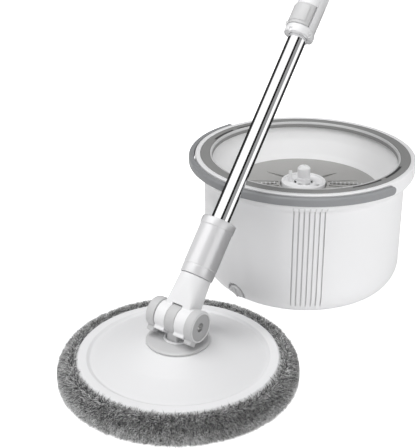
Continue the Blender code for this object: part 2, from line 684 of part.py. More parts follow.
def build_clamp():
    bore = TUBE_RADIUS + GAP + 0.0001
    profile = [
        (0.0120, 0.4370),
        (0.0131, 0.4360),
        (0.0131, 0.4215),
        (0.0168, 0.4215),
        (0.0166, LEVER_START - 0.0015),
        (0.0178, LEVER_START - 0.0035),
        (0.0178, CLAMP_START + 0.0008),
        (0.0170, CLAMP_START),
        (bore, CLAMP_START),
        (bore, 0.4370),
    ]
    housing = turned("clamp_housing", profile, HANDLE, "white_gloss", HANDLE_STEPS)
    # The lever lies in a pocket of the housing, a little longer than its own arc.
    low, high = LEVER_START - GAP, LEVER_END + GAP
    pocket = arc_block("lever_pocket", 0.0143, 0.0210, low, high, radians(-182), radians(-30), HANDLE, 24)
    groove = cylinder("knuckle_groove", 0.0030, LEVER_START - 0.0002, LEVER_END + 0.0002, LEVER, segments=16)
    pin_low, pin_high = LEVER_START - 0.0062, LEVER_END + 0.0062
    pin_bore = cylinder("lever_pin_bore", 0.0014, pin_low - 0.0003, pin_high + 0.0003, LEVER, segments=10)
    cut(housing, pocket, groove, pin_bore)
    turned("lever_pin", [(0, pin_high), (0.0011, pin_high), (0.0011, pin_low), (0, pin_low)], LEVER, "steel", 10)

    # The lever wraps round the tube from its knuckle to its thumb tab.
    knuckle = cylinder("lock_lever", 0.0026, LEVER_START, LEVER_END, LEVER, "silver_grey", 20)
    shell = arc_block(
        "lever_shell",
        0.0146,
        0.0176,
        LEVER_START + 0.0001,
        LEVER_END - 0.0001,
        radians(-177),
        LEVER_PIN_AZIMUTH - radians(2),
        HANDLE,
        20,
    )
    low, high = LEVER_START + 0.0002, LEVER_START + 0.0056
    thumb = arc_block("lever_thumb", 0.0160, 0.0202, low, high, radians(-176), radians(-164), HANDLE, 3)
    join(knuckle, shell, thumb)
    cut(knuckle, cylinder("knuckle_bore", 0.0014, LEVER_START - 0.01, LEVER_END + 0.01, LEVER, segments=10))


def build_grip():
    tube = [(GRIP_RADIUS, GRIP_END), (GRIP_RADIUS, GRIP_START), (GRIP_BORE, GRIP_START), (GRIP_BORE, GRIP_END)]
    turned("grip_tube", tube, HANDLE, "white_gloss", HANDLE_STEPS)
    plug = [
        (0, 0.9740),
        (0.0090, 0.9725),
        (0.0135, 0.9680),
        (GRIP_RADIUS, 0.9610),
        (GRIP_RADIUS, GRIP_END + GAP),
        (GRIP_BORE - GAP, GRIP_END + GAP),
        (GRIP_BORE - GAP, GRIP_END - 0.0250),
        (0, GRIP_END - 0.0250),
    ]
    cap = turned("end_cap", plug, HANDLE, "silver_grey", HANDLE_STEPS)
    eye = cylinder("eye", 0.0125, -0.0040, 0.0040, HANDLE, segments=24, at=(0, 0, EYE_AT), turn=TO_PLUS_X)
    stem = block("eye_stem", (-0.0039, -0.0115, 0.9600), (0.0039, 0.0115, EYE_AT), HANDLE)
    join(cap, stem, eye)
    cut(cap, cylinder("eye_hole", 0.0080, -0.02, 0.02, HANDLE, segments=24, at=(0, 0, EYE_AT), turn=TO_PLUS_X))


build_outer_bucket()
build_rim_ring()
build_inner_tub()
build_scrub_plate()
build_hub()
build_bail()
build_drain()
build_mop_head()
build_yoke()
build_fork()
build_hinge_caps()
build_sleeve_and_tube()
build_drive()
build_clamp()
build_grip()
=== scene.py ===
"""Looks for the spin mop and its bucket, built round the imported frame. Metres, +Z up."""

import json
from math import atan2, cos, pi, radians, sin, tan

import bmesh
import bpy
import numpy as np
from mathutils import Matrix, Vector

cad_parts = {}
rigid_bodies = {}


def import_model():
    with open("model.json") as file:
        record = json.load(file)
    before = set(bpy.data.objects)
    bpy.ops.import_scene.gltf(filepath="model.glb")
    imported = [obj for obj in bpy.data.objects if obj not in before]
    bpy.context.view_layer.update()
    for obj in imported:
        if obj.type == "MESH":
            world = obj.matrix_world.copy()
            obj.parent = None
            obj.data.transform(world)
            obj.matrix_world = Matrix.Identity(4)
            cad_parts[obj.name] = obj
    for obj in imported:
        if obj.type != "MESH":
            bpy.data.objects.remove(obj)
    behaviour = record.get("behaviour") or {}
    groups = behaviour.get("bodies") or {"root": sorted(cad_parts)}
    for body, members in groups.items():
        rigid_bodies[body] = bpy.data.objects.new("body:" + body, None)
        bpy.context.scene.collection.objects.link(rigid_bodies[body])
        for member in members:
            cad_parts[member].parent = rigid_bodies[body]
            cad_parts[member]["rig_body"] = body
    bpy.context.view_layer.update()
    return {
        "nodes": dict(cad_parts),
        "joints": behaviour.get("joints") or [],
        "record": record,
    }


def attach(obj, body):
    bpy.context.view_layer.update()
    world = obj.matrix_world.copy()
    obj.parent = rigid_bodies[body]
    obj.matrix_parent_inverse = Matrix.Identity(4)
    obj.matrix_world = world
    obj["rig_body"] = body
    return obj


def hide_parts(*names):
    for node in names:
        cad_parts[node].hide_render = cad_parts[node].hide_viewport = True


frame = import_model()
JOINTS = {j["name"]: j for j in frame["joints"]}
NODES = frame["nodes"]
SCENE = bpy.context.scene


# -------- frames

def axes_frame(origin, x, z):
    """A frame at origin with the given local X and Z directions."""
    z = Vector(z).normalized()
    x = Vector(x)
    x = (x - z * x.dot(z)).normalized()
    turn = Matrix((x, z.cross(x), z)).transposed()
    return Matrix.Translation(origin) @ turn.to_4x4()


PIN = Vector(JOINTS["handle_tilt"]["pos_m"])
PIN_AXIS = Vector(JOINTS["handle_tilt"]["axis"])
HANDLE_AXIS = Vector(JOINTS["grip_slide"]["axis"])
WORLD = Matrix.Identity(4)
HEAD = axes_frame((PIN.x, PIN.y, 0), PIN_AXIS, (0, 0, 1))
HANDLE = axes_frame(PIN, PIN_AXIS, HANDLE_AXIS)
BAIL = axes_frame(JOINTS["bail_swing"]["pos_m"], JOINTS["bail_swing"]["axis"], (0, 0, 1))
DRAIN = axes_frame(JOINTS["drain_turn"]["pos_m"], (0, 0, -1), JOINTS["drain_turn"]["axis"])
KNUCKLE = HANDLE.inverted() @ Vector(JOINTS["lever_flip"]["pos_m"])
LEVER = HANDLE @ Matrix.Translation((KNUCKLE.x, KNUCKLE.y, 0))
ALONG_X = Matrix.Rotation(pi / 2, 4, "Y")
ALONG_MINUS_X = Matrix.Rotation(-pi / 2, 4, "Y")


def azimuth_frame(base, azimuth, radius=0.0, z=0.0):
    """A frame turned about base's Z, then moved out along its own X."""
    return base @ Matrix.Rotation(azimuth, 4, "Z") @ Matrix.Translation((radius, 0, z))


# -------- meshes

def set_shading(mesh, sharp=35):
    """Smooth faces, with edges sharper than that many degrees kept."""
    mesh.polygons.foreach_set("use_smooth", [True] * len(mesh.polygons))
    mesh.set_sharp_from_angle(angle=radians(sharp))


def add_object(name, data):
    obj = bpy.data.objects.new(name, data)
    SCENE.collection.objects.link(obj)
    return obj


def new_mesh_object(name, shape, at=WORLD, sharp=35):
    """A bmesh as an object whose mesh already stands in its place."""
    bmesh.ops.recalc_face_normals(shape, faces=shape.faces)
    mesh = bpy.data.meshes.new(name)
    shape.to_mesh(mesh)
    shape.free()
    mesh.transform(at)
    set_shading(mesh, sharp)
    return add_object(name, mesh)


def rounded(points, closed, steps=4):
    """A profile of (radius, height) points with each (radius, height, rounding) corner turned into an arc."""
    made = []
    last = len(points) - 1
    for i, point in enumerate(points):
        here = Vector(point[:2])
        rounding = point[2] if len(point) > 2 else 0
        if not rounding or (not closed and i in (0, last)):
            made.append(tuple(here))
            continue
        back = Vector(points[i - 1][:2]) - here
        on = Vector(points[(i + 1) % (last + 1)][:2]) - here
        half = back.angle(on) / 2
        reach = min(rounding / tan(half), 0.49 * back.length, 0.49 * on.length)
        radius = reach * tan(half)
        back.normalize()
        on.normalize()
        centre = here + (back + on).normalized() * (radius / sin(half))
        start, end = here + back * reach - centre, here + on * reach - centre
        turn = pi - 2 * half
        for k in range(steps + 1):
            share = k / steps
            arm = (start * sin((1 - share) * turn) + end * sin(share * turn)) / sin(turn)
            made.append(tuple(centre + arm))
    return made


def lathe(name, points, at=WORLD, steps=96, azimuths=None, bend=None, sharp=35, arc_steps=4):
    """Turns a profile round local Z. bend(radius, height, azimuth) may move a point of it."""
    solid = points[0][0] == 0 and points[-1][0] == 0
    profile = rounded(points, not solid, arc_steps)
    if azimuths is None:
        azimuths = [2 * pi * i / steps for i in range(steps)]
    shape = bmesh.new()
    rings = []
    for radius, height in profile:
        if radius == 0:
            rings.append([shape.verts.new((0, 0, height))])
            continue
        ring = []
        for azimuth in azimuths:
            r, z = bend(radius, height, azimuth) if bend else (radius, height)
            ring.append(shape.verts.new((r * cos(azimuth), r * sin(azimuth), z)))
        rings.append(ring)
    pairs = list(zip(rings, rings[1:])) + ([] if solid else [(rings[-1], rings[0])])
    count = len(azimuths)
    for low, high in pairs:
        for i in range(count):
            j = (i + 1) % count
            corners = [low[i % len(low)], low[j % len(low)], high[j % len(high)], high[i % len(high)]]
            corners = list(dict.fromkeys(corners))
            if len(corners) > 2:
                shape.faces.new(corners)
    return new_mesh_object(name, shape, at, sharp)


def rod(name, radius, start, end, at=WORLD, steps=32, bevel=0.0003):
    """A cylinder along local Z with rounded edges."""
    return lathe(name, [(0, end), (radius, end, bevel), (radius, start, bevel), (0, start)], at, steps)


def slab(name, low, high, at=WORLD, bevel=0.0004):
    """A box between two corners, with its edges rounded."""
    low, high = Vector(low), Vector(high)
    shape = bmesh.new()
    size = Matrix.Diagonal((*(high - low), 1))
    bmesh.ops.create_cube(shape, size=1, matrix=Matrix.Translation((low + high) / 2) @ size)
    if bevel:
        bmesh.ops.bevel(shape, geom=shape.edges[:], offset=bevel, segments=3, affect="EDGES", profile=0.5)
    return new_mesh_object(name, shape, at)


def arc_slab(name, section, start, end, at=WORLD, steps=32, sharp=35):
    """A closed (radius, height) section swept round local Z from one azimuth to another."""
    profile = rounded(section, True)
    shape = bmesh.new()
    rings = []
    for k in range(steps + 1):
        azimuth = start + (end - start) * k / steps
        rings.append([shape.verts.new((r * cos(azimuth), r * sin(azimuth), z)) for r, z in profile])
    for low, high in zip(rings, rings[1:]):
        for i in range(len(profile)):
            j = (i + 1) % len(profile)
            shape.faces.new((low[i], low[j], high[j], high[i]))
    shape.faces.new(rings[0])
    shape.faces.new(rings[-1])
    return new_mesh_object(name, shape, at, sharp)


def strip(inner, outer, low, high, inner_rounding=0, outer_rounding=0):
    """A rectangular (radius, height) section for arc_slab."""
    return [
        (inner, low, inner_rounding), (outer, low, outer_rounding),
        (outer, high, outer_rounding), (inner, high, inner_rounding),
    ]


def apply_modifiers(obj, sharp=35):
    graph = bpy.context.evaluated_depsgraph_get()
    mesh = bpy.data.meshes.new_from_object(obj.evaluated_get(graph))
    old = obj.data
    obj.modifiers.clear()
    obj.data = mesh
    bpy.data.meshes.remove(old)
    set_shading(mesh, sharp)
    return obj


def boolean(piece, tools, operation, sharp=35):
    """Joins or cuts a piece with tools, which are used up."""
    for tool in tools:
        modifier = piece.modifiers.new("shape", "BOOLEAN")
        modifier.operation = operation
        modifier.object = tool
    apply_modifiers(piece, sharp)
    for tool in tools:
        bpy.data.objects.remove(tool)


def join(piece, *tools, sharp=35):
    boolean(piece, tools, "UNION", sharp)


def cut(piece, *tools, sharp=35):
    boolean(piece, tools, "DIFFERENCE", sharp)


def melted(name, objects, voxel, smoothing):
    """Closed shapes made one, with their joints softened."""
    sharp = 60
    shape = bmesh.new()
    for obj in objects:
        shape.from_mesh(obj.data)
        bpy.data.objects.remove(obj)
    made = new_mesh_object(name, shape, WORLD, sharp)
    remesh = made.modifiers.new("melt", "REMESH")
    remesh.mode = "VOXEL"
    remesh.voxel_size = voxel
    smooth = made.modifiers.new("soften", "SMOOTH")
    smooth.factor = 0.5
    smooth.iterations = smoothing
    return apply_modifiers(made, sharp)


# -------- materials

class Tree:
    """Short ways to make and join the shader nodes of a new material, or of the world."""

    def __init__(self, name, world=None):
        self.material = world or bpy.data.materials.new(name)
        self.material.use_nodes = True
        self.nodes = self.material.node_tree.nodes
        self.links = self.material.node_tree.links
        self.shader = self.nodes["Background" if world else "Principled BSDF"]
        self.place = self.add("ShaderNodeTexCoord").outputs["Object"]

    def add(self, kind, **settings):
        node = self.nodes.new(kind)
        for key, value in settings.items():
            setattr(node, key, value)
        return node

    def link(self, source, target):
        self.links.new(source, target)

    def noise(self, scale, detail=2.0, roughness=0.5, stretch=None):
        node = self.add("ShaderNodeTexNoise")
        node.inputs["Scale"].default_value = scale
        node.inputs["Detail"].default_value = detail
        node.inputs["Roughness"].default_value = roughness
        place = self.place
        if stretch:
            mapping = self.add("ShaderNodeMapping")
            mapping.inputs["Scale"].default_value = stretch
            self.link(place, mapping.inputs["Vector"])
            place = mapping.outputs["Vector"]
        self.link(place, node.inputs["Vector"])
        return node.outputs["Fac"]

    def spread(self, value, low, high, start=0.3, end=0.7):
        node = self.add("ShaderNodeMapRange")
        for key, number in (("From Min", start), ("From Max", end), ("To Min", low), ("To Max", high)):
            node.inputs[key].default_value = number
        self.link(value, node.inputs["Value"])
        return node.outputs["Result"]

    def blend(self, share, first, second, mode="MIX"):
        node = self.add("ShaderNodeMix", data_type="RGBA", blend_type=mode)
        for socket, value in (("Factor", share), ("A", first), ("B", second)):
            found = [s for s in node.inputs if s.name == socket and s.enabled][0]
            if isinstance(value, bpy.types.NodeSocket):
                self.link(value, found)
            elif socket == "Factor":
                found.default_value = value
            else:
                found.default_value = (*value, 1.0)
        return [s for s in node.outputs if s.enabled][0]

    def grey(self, value):
        node = self.add("ShaderNodeCombineColor")
        for channel in ("Red", "Green", "Blue"):
            self.link(value, node.inputs[channel])
        return node.outputs["Color"]

    def bump(self, height, distance, strength=1.0, normal=None):
        node = self.add("ShaderNodeBump")
        node.inputs["Distance"].default_value = distance
        node.inputs["Strength"].default_value = strength
        self.link(height, node.inputs["Height"])
        if normal:
            self.link(normal, node.inputs["Normal"])
        return node.outputs["Normal"]


def tinted(colour, factor):
    return tuple(min(1.0, c * factor) for c in colour)


def plastic(name, colour, roughness, mottle=0.03, grain=900.0, grain_height=0.00002,
            coat=0.0, uneven=0.05, flake=0.0):
    """Moulded plastic: a faint drift of colour, uneven gloss, a fine grain and perhaps a metallic flake."""
    tree = Tree(name)
    shader = tree.shader
    drift = tree.spread(tree.noise(9.0, 3.0), 0.0, 1.0)
    tint = tree.blend(drift, tinted(colour, 1 - mottle), tinted(colour, 1 + mottle))
    tree.link(tint, shader.inputs["Base Color"])
    gloss = tree.spread(tree.noise(38.0, 4.0, 0.6), roughness - uneven, roughness + uneven)
    tree.link(gloss, shader.inputs["Roughness"])
    waves = tree.bump(tree.noise(60.0, 1.0), 0.00010, 0.12)
    tree.link(tree.bump(tree.noise(grain, 2.0), grain_height, 1.0, waves), shader.inputs["Normal"])
    shader.inputs["Metallic"].default_value = flake
    shader.inputs["Coat Weight"].default_value = coat
    shader.inputs["Coat Roughness"].default_value = 0.12
    return tree.material


def metal(name, colour, roughness, uneven, brushed=0.0):
    """Plated steel: a slight haze and, if brushed, fine lines that deep."""
    tree = Tree(name)
    shader = tree.shader
    shader.inputs["Metallic"].default_value = 1.0
    haze = tree.spread(tree.noise(30.0, 4.0, 0.6), 0.0, 1.0)
    tree.link(tree.blend(haze, tinted(colour, 0.97), colour), shader.inputs["Base Color"])
    gloss = tree.spread(tree.noise(55.0, 5.0, 0.65), max(0.0, roughness - uneven), roughness + uneven)
    tree.link(gloss, shader.inputs["Roughness"])
    if brushed:
        lines = tree.noise(400.0, 3.0, 0.6, (1.0, 1.0, 0.05))
        tree.link(tree.bump(lines, brushed, 0.5), shader.inputs["Normal"])
    return tree.material


def fur_material(name, dark, light):
    """Microfibre pile: each tuft has its own tone, with painted shade at the root."""
    tree = Tree(name)
    shader = tree.shader
    tone = tree.add("ShaderNodeAttribute", attribute_name="tone", attribute_type="GEOMETRY").outputs["Fac"]
    clumps = tree.spread(tree.noise(70.0, 3.0, 0.6), 0.82, 1.14)
    shade = tree.blend(tone, dark, light)
    tree.link(tree.blend(1.0, shade, tree.grey(clumps), "MULTIPLY"), shader.inputs["Base Color"])
    shader.inputs["Roughness"].default_value = 0.75
    shader.inputs["Sheen Weight"].default_value = 0.25
    shader.inputs["Sheen Roughness"].default_value = 0.4
    return tree.material


def felt(name, colour):
    """Matted pile or backing: a dense speckle with a soft bump."""
    tree = Tree(name)
    shader = tree.shader
    speckle = tree.spread(tree.noise(1400.0, 4.0, 0.7), 0.0, 1.0, 0.35, 0.65)
    tree.link(tree.blend(speckle, tinted(colour, 0.55), tinted(colour, 1.5)), shader.inputs["Base Color"])
    tree.link(tree.bump(tree.noise(840.0, 3.0), 0.0006, 0.8), shader.inputs["Normal"])
    shader.inputs["Roughness"].default_value = 0.9
    return tree.material


MATERIALS = {
    "white_gloss": plastic("white_gloss_plastic", (0.88, 0.88, 0.89), 0.30, 0.008, coat=0.1, uneven=0.015),
    "white_satin": plastic("white_satin_plastic", (0.93, 0.93, 0.935), 0.42, 0.008, uneven=0.02),
    "grey_ring": plastic("grey_ring_plastic", (0.262, 0.262, 0.260), 0.44, 0.04, 1600.0, 0.00004),
    "grey_bail": plastic("grey_bail_plastic", (0.275, 0.280, 0.290), 0.40, 0.04, 1600.0, 0.00004),
    "grey_plate": plastic("grey_plate_plastic", (0.39, 0.386, 0.378), 0.52, 0.05, 1300.0, 0.00006),
    "silver_grey": plastic("silver_grey_plastic", (0.79, 0.79, 0.80), 0.33, 0.015, uneven=0.015, flake=0.45),
    # A satin finish for the dish, in a darker white that is painted shade.
    "dish_painted_shade": plastic("satin_dish_plastic_painted_shade", (0.815, 0.815, 0.825), 0.42, 0.008, uneven=0.015),
    # A darker white for the groove walls: painted shade in the grooves.
    "groove_painted_shade": plastic("white_plastic_painted_groove_shade", (0.72, 0.72, 0.725), 0.50, 0.02),
    # A lighter grey for the caps' rim rings: a painted highlight.
    "rim_painted_highlight": plastic("cap_rim_painted_highlight_plastic", (0.80, 0.80, 0.805), 0.30, 0.02, uneven=0.02),
    "lever_grey": plastic("lever_grey_plastic", (0.62, 0.62, 0.625), 0.42, 0.02, uneven=0.02),
    "cap_face": plastic("cap_face_plastic", (0.46, 0.46, 0.465), 0.45, 0.03, 1500.0, 0.00003),
    "light_grey": plastic("light_grey_plastic", (0.60, 0.60, 0.605), 0.40, 0.03, 1500.0, 0.00003),
    "hook": felt("hook_tape", (0.12, 0.12, 0.13)),
    "chrome": metal("chrome_plate", (0.93, 0.93, 0.94), 0.05, 0.02),
    "steel": metal("zinc_plated_steel", (0.62, 0.62, 0.61), 0.28, 0.08, 0.00002),
    "black_plastic": plastic("black_moulding", (0.045, 0.045, 0.047), 0.5, 0.1, 1200.0, 0.00005),
    "fur": felt("pad_backing", (0.10, 0.10, 0.10)),
}
PILE = fur_material("microfibre_pile", (0.022, 0.022, 0.023), (1.0, 1.0, 1.0))


def dress(obj, slot, body, *replaced, material=None):
    """Gives a piece its slot, material and body, and hides the CAD nodes that it stands for."""
    obj.data.materials.clear()
    obj.data.materials.append(material or MATERIALS[slot])
    if replaced:
        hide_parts(*replaced)
    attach(obj, body)


# -------- bucket

RIM_TOP = 0.1735
RING_RADIUS = 0.1340
WALL_RADIUS = 0.1288
WALL = 0.0024
CORNER = 0.0340
CORNER_R = WALL_RADIUS - CORNER
FLARE_RADIUS = 0.1335
GROOVE_COUNT, GROOVE_MIDDLE, GROOVE_PITCH = 7, -91.9, 2.75
GROOVES = [radians(GROOVE_MIDDLE + GROOVE_PITCH * (i - 3)) for i in range(GROOVE_COUNT)]
GROOVE_HALF, GROOVE_EDGE, GROOVE_DEPTH = radians(0.36), radians(0.37), 0.0018
GROOVE_FOOT, GROOVE_TOP = 0.0165, 0.1565


def corner_arc(radius, start, end, count):
    """Points of the bucket's rounded foot."""
    angles = [radians(start + (end - start) * i / (count - 1)) for i in range(count)]
    return [(CORNER_R + radius * cos(a), CORNER + radius * sin(a)) for a in angles]


def from_groove(azimuth):
    """The angle to the nearest groove."""
    return min(abs((azimuth - g + pi) % (2 * pi) - pi) for g in GROOVES)


def groove_depth(azimuth, height):
    """How far the wall is pressed in: fine grooves that fade out at the foot and under the rim."""
    across = max(0.0, 1 - from_groove(azimuth) / GROOVE_HALF)
    low = min(1.0, max(0.0, (height - GROOVE_FOOT) / 0.0030))
    high = min(1.0, max(0.0, (GROOVE_TOP - height) / 0.0015))
    return GROOVE_DEPTH * min(1.0, across * 3.0) * low * high


def bucket_bend(radius, height, azimuth):
    """Presses the grooves into the outer face of the wall and of its rounded foot."""
    depth = groove_depth(azimuth, height)
    if height > CORNER:
        on_outer = WALL_RADIUS - 0.0002 < radius <= FLARE_RADIUS
        return (radius - depth if on_outer else radius), height
    from_centre = Vector((radius - CORNER_R, height - CORNER))
    if from_centre.length <= CORNER - 0.0006:
        return radius, height
    out = from_centre.normalized()
    return radius - out.x * depth, height - out.y * depth


def build_bucket():
    """The white outer shell with its rim channel, upright grooves, drain seat and rest for the bail; the
    groove walls are painted darker as painted shade.
    """
    profile = [(0, WALL)]
    profile += corner_arc(CORNER - WALL, -90, 0, 13)
    profile += [
        (WALL_RADIUS - WALL, 0.1655), (WALL_RADIUS - 0.0003, 0.1655), (WALL_RADIUS, 0.1535),
        (0.1330, 0.1575), (0.1388, 0.1615), (0.1388, 0.1686), (0.1310, 0.1686),
        (0.1310, 0.1702), (RING_RADIUS + 0.0003, 0.1702),
        (RING_RADIUS + 0.0003, RIM_TOP, 0.0006), (0.1406, RIM_TOP, 0.0010),
        (0.1410, 0.1570, 0.0040), (0.1372, 0.1512, 0.0060), (0.1300, 0.1480, 0.0040),
        (WALL_RADIUS, 0.1440, 0.0030),
    ]
    profile += [(WALL_RADIUS, 0.1440 - 0.0100 * i) for i in range(1, 11)]
    profile += corner_arc(CORNER, 0, -90, 19)
    profile += [(0, 0)]
    clear = radians(0.75)
    azimuths = {2 * pi * i / 160 for i in range(160)}
    azimuths = {a for a in azimuths if from_groove(a) > clear}
    for groove in GROOVES:
        for step in (-GROOVE_EDGE, radians(-0.24), 0.0, radians(0.24), GROOVE_EDGE):
            azimuths.add((groove + step) % (2 * pi))
    shell = lathe("bucket_shell", profile, WORLD, azimuths=sorted(azimuths), bend=bucket_bend, sharp=28)

    core = [(0, 0.1400), (WALL_RADIUS - 0.0004, 0.1400)]
    core += corner_arc(CORNER - 0.0004, 0, -90, 15) + [(0, 0.0004)]
    cup = rod("cup", 0.0157, -0.0110, 0.0050, DRAIN, 48, 0)
    boolean(cup, [lathe("core", core, WORLD, 160)], "INTERSECT")
    rest = slab("rest", (-0.0070, 0.1395, -0.0090), (0.0070, 0.1465, -0.0056), BAIL, 0.0008)
    join(shell, rest, cup, sharp=28)
    dish = [(0, 0.0300), (0.0135, 0.0300), (0.0135, -0.0070, 0.0010), (0, -0.0070)]
    recess = lathe("recess", dish, DRAIN, 64)
    hole = rod("hole", 0.0092, -0.0200, 0.0100, DRAIN, 32, 0)
    pins = [rod("pin_hole", 0.0030, 0.1300, 0.1450, BAIL @ turn, 20, 0) for turn in (ALONG_X, ALONG_MINUS_X)]
    cut(shell, recess, hole, *pins, sharp=28)
    dress(shell, "white_gloss", "bucket", "outer_bucket")
    # Groove walls take the darker white: painted shade in the grooves.
    shell.data.materials.append(MATERIALS["groove_painted_shade"])
    for face in shell.data.polygons:
        azimuth = atan2(face.center.y, face.center.x)
        grooved = from_groove(azimuth) < GROOVE_EDGE and groove_depth(azimuth, face.center.z) > 0.0002
        if grooved and face.normal.z < 0.7:
            face.material_index = 1


def build_ring():
    """The grey ring on the rim: an inner lip painted light grey as a painted highlight, and four slots filled
    with black as painted shade.
    """
    profile = [
        (RING_RADIUS, RIM_TOP, 0.0007), (RING_RADIUS, 0.1705), (0.1218, 0.1705, 0.0006),
        (0.1206, 0.1665, 0.0005), (0.1182, 0.1665, 0.0005), (0.1185, 0.1690),
        (0.1190, 0.1708, 0.0010), (0.1197, RIM_TOP, 0.0010), (0.1216, RIM_TOP, 0.0005),
        (0.1219, 0.1728, 0.0002), (0.1223, 0.1728, 0.0002), (0.1225, RIM_TOP, 0.0003),
    ]
    painted_highlight_radius = 0.1217
    ring = lathe("ring_band", profile, WORLD, 160, sharp=40)
    slot = strip(0.1227, 0.1262, 0.1690, 0.1750)
    # Black fills in the slots: painted shade that makes the slots read as dark openings.
    shade_fill = strip(0.1225, 0.1264, 0.1694, 0.1727)
    tools = []
    for middle in (-45.5, 134.5):
        for start, end in ((-22.5, -1.8), (1.8, 22.5)):
            reach = radians(middle + start), radians(middle + end)
            tools.append(arc_slab("slot", slot, *reach, WORLD, 24))
            dress(arc_slab(f"slot_shade_fill_{len(tools)}", shade_fill, *reach, WORLD, 24), "black_plastic", "bucket")
    cut(ring, *tools, sharp=40)
    dress(ring, "grey_ring", "bucket", "rim_ring")
    # The inner lip's top faces take light grey: a painted highlight along the lip's edge.
    ring.data.materials.append(MATERIALS["light_grey"])
    for face in ring.data.polygons:
        if face.center.xy.length < painted_highlight_radius and face.center.z > RIM_TOP - 0.0023:
            face.material_index = 1


def build_tub():
    """The white wringing tub that hangs in the rim."""
    floor_under = 0.1190
    profile = [
        (0.1290, 0.1680, 0.0004), (0.1290, 0.1658), (0.1252, 0.1655),
        (0.1202, 0.1500, 0.0300), (0.1108, 0.1300, 0.0200), (0.1062, 0.1225, 0.0050),
        (0.1035, floor_under, 0.0020), (0.0160, floor_under), (0.0160, 0.1040, 0.0010),
        (0.0045, 0.1040), (0.0045, 0.1212), (0.1010, 0.1212, 0.0010),
        (0.1036, 0.1232, 0.0030), (0.1086, 0.1312, 0.0200), (0.1178, 0.1500, 0.0300),
        (0.1232, 0.1680, 0.0004),
    ]
    dress(lathe("tub_liner", profile, WORLD, 128), "white_satin", "bucket", "inner_tub")


PLATE_RADIUS, PLATE_INNER = 0.0985, 0.0315
PLATE_EDGE, PLATE_RISE = 0.1270, 0.0035


def plate_height(radius):
    """The plate rises a little towards the hub."""
    return PLATE_EDGE + (PLATE_RADIUS - radius) / (PLATE_RADIUS - PLATE_INNER) * PLATE_RISE


def radial_cutter(name, azimuth, start, end, width, end_width, depth):
    """A cutter for a radial groove in the plate, as deep at one end as at the other."""
    shape = bmesh.new()
    plan = [(start, -width / 2), (end, -end_width / 2), (end, end_width / 2), (start, width / 2)]
    bottom = [shape.verts.new((x, y, plate_height(x) - depth)) for x, y in plan]
    top = [shape.verts.new((x, y, 0.1360)) for x, y in plan]
    shape.faces.new(bottom)
    shape.faces.new(top)
    for i in range(4):
        j = (i + 1) % 4
        shape.faces.new((bottom[i], bottom[j], top[j], top[i]))
    return new_mesh_object(name, shape, azimuth_frame(WORLD, radians(azimuth)))


def build_scrub_plate():
    """The grey plate on the tub's floor, with wedge grooves and two rows of comb teeth."""
    profile = [
        (PLATE_RADIUS, plate_height(PLATE_RADIUS), 0.0010),
        (0.1000, 0.1258, 0.0006), (0.1000, 0.1215), (0.0140, 0.1215), (0.0140, 0.1237),
        (0.0302, 0.1237), (0.0302, 0.1303, 0.0003),
        (PLATE_INNER, plate_height(PLATE_INNER), 0.0004),
    ]
    plate = lathe("ribbed_plate", profile, WORLD, 128)
    tools = []
    for azimuth in (40, 135, 220, 320):
        tools.append(radial_cutter("wedge", azimuth, 0.0330, 0.0640, 0.0058, 0.0008, 0.0030))
    for azimuth in (12, 168, 192, 348):
        tools.append(radial_cutter("wedge", azimuth, 0.0330, 0.0740, 0.0036, 0.0008, 0.0026))
    for azimuth in (0, 180):
        tools.append(radial_cutter("comb_bed", azimuth, 0.0350, 0.0790, 0.0050, 0.0050, 0.0024))
    cut(plate, *tools)
    dress(plate, "grey_plate", "bucket", "scrub_plate")
    combs = bmesh.new()
    tooth = Matrix.Diagonal((0.0020, 0.0046, 0.0042, 1))
    first, pitch = 0.0378, 0.0055
    for azimuth in (0, 180):
        for number in range(8):
            radius = first + pitch * number
            at = azimuth_frame(WORLD, radians(azimuth), radius, plate_height(radius) + 0.0002)
            made = bmesh.ops.create_cube(combs, size=1, matrix=at @ tooth)
            edges = {e for v in made["verts"] for e in v.link_edges}
            bmesh.ops.bevel(combs, geom=list(edges), offset=0.0004, segments=2, affect="EDGES")
    dress(new_mesh_object("plate_combs", combs), "light_grey", "bucket")


def phillips(name, node, body, at, head, shaft):
    """A pan-head screw with a cross recess. head is (radius, seat, top) and shaft is (radius, tip)."""
    radius, seat, top = head
    shank, tip = shaft
    profile = [
        (0, top), (radius * 0.55, top, 0.0003), (radius, seat + (top - seat) * 0.35, 0.0004),
        (radius, seat, 0.0002), (shank, seat), (shank, tip), (0, tip),
    ]
    screw = lathe(name, profile, at, 28)
    reach, width, depth = radius * 0.58, radius * 0.11, (top - seat) * 0.75
    arms = []
    for turn in (0.3, 0.3 + pi / 2):
        turned = at @ Matrix.Rotation(turn, 4, "Z")
        arms.append(slab("arm", (-reach, -width, top - depth), (reach, width, top + 0.001), turned, 0))
    cut(screw, *arms)
    dress(screw, "steel", body, node)


HUB_SCREWS = [azimuth_frame(WORLD, radians(azimuth), 0.0200) for azimuth in (147, -33)]


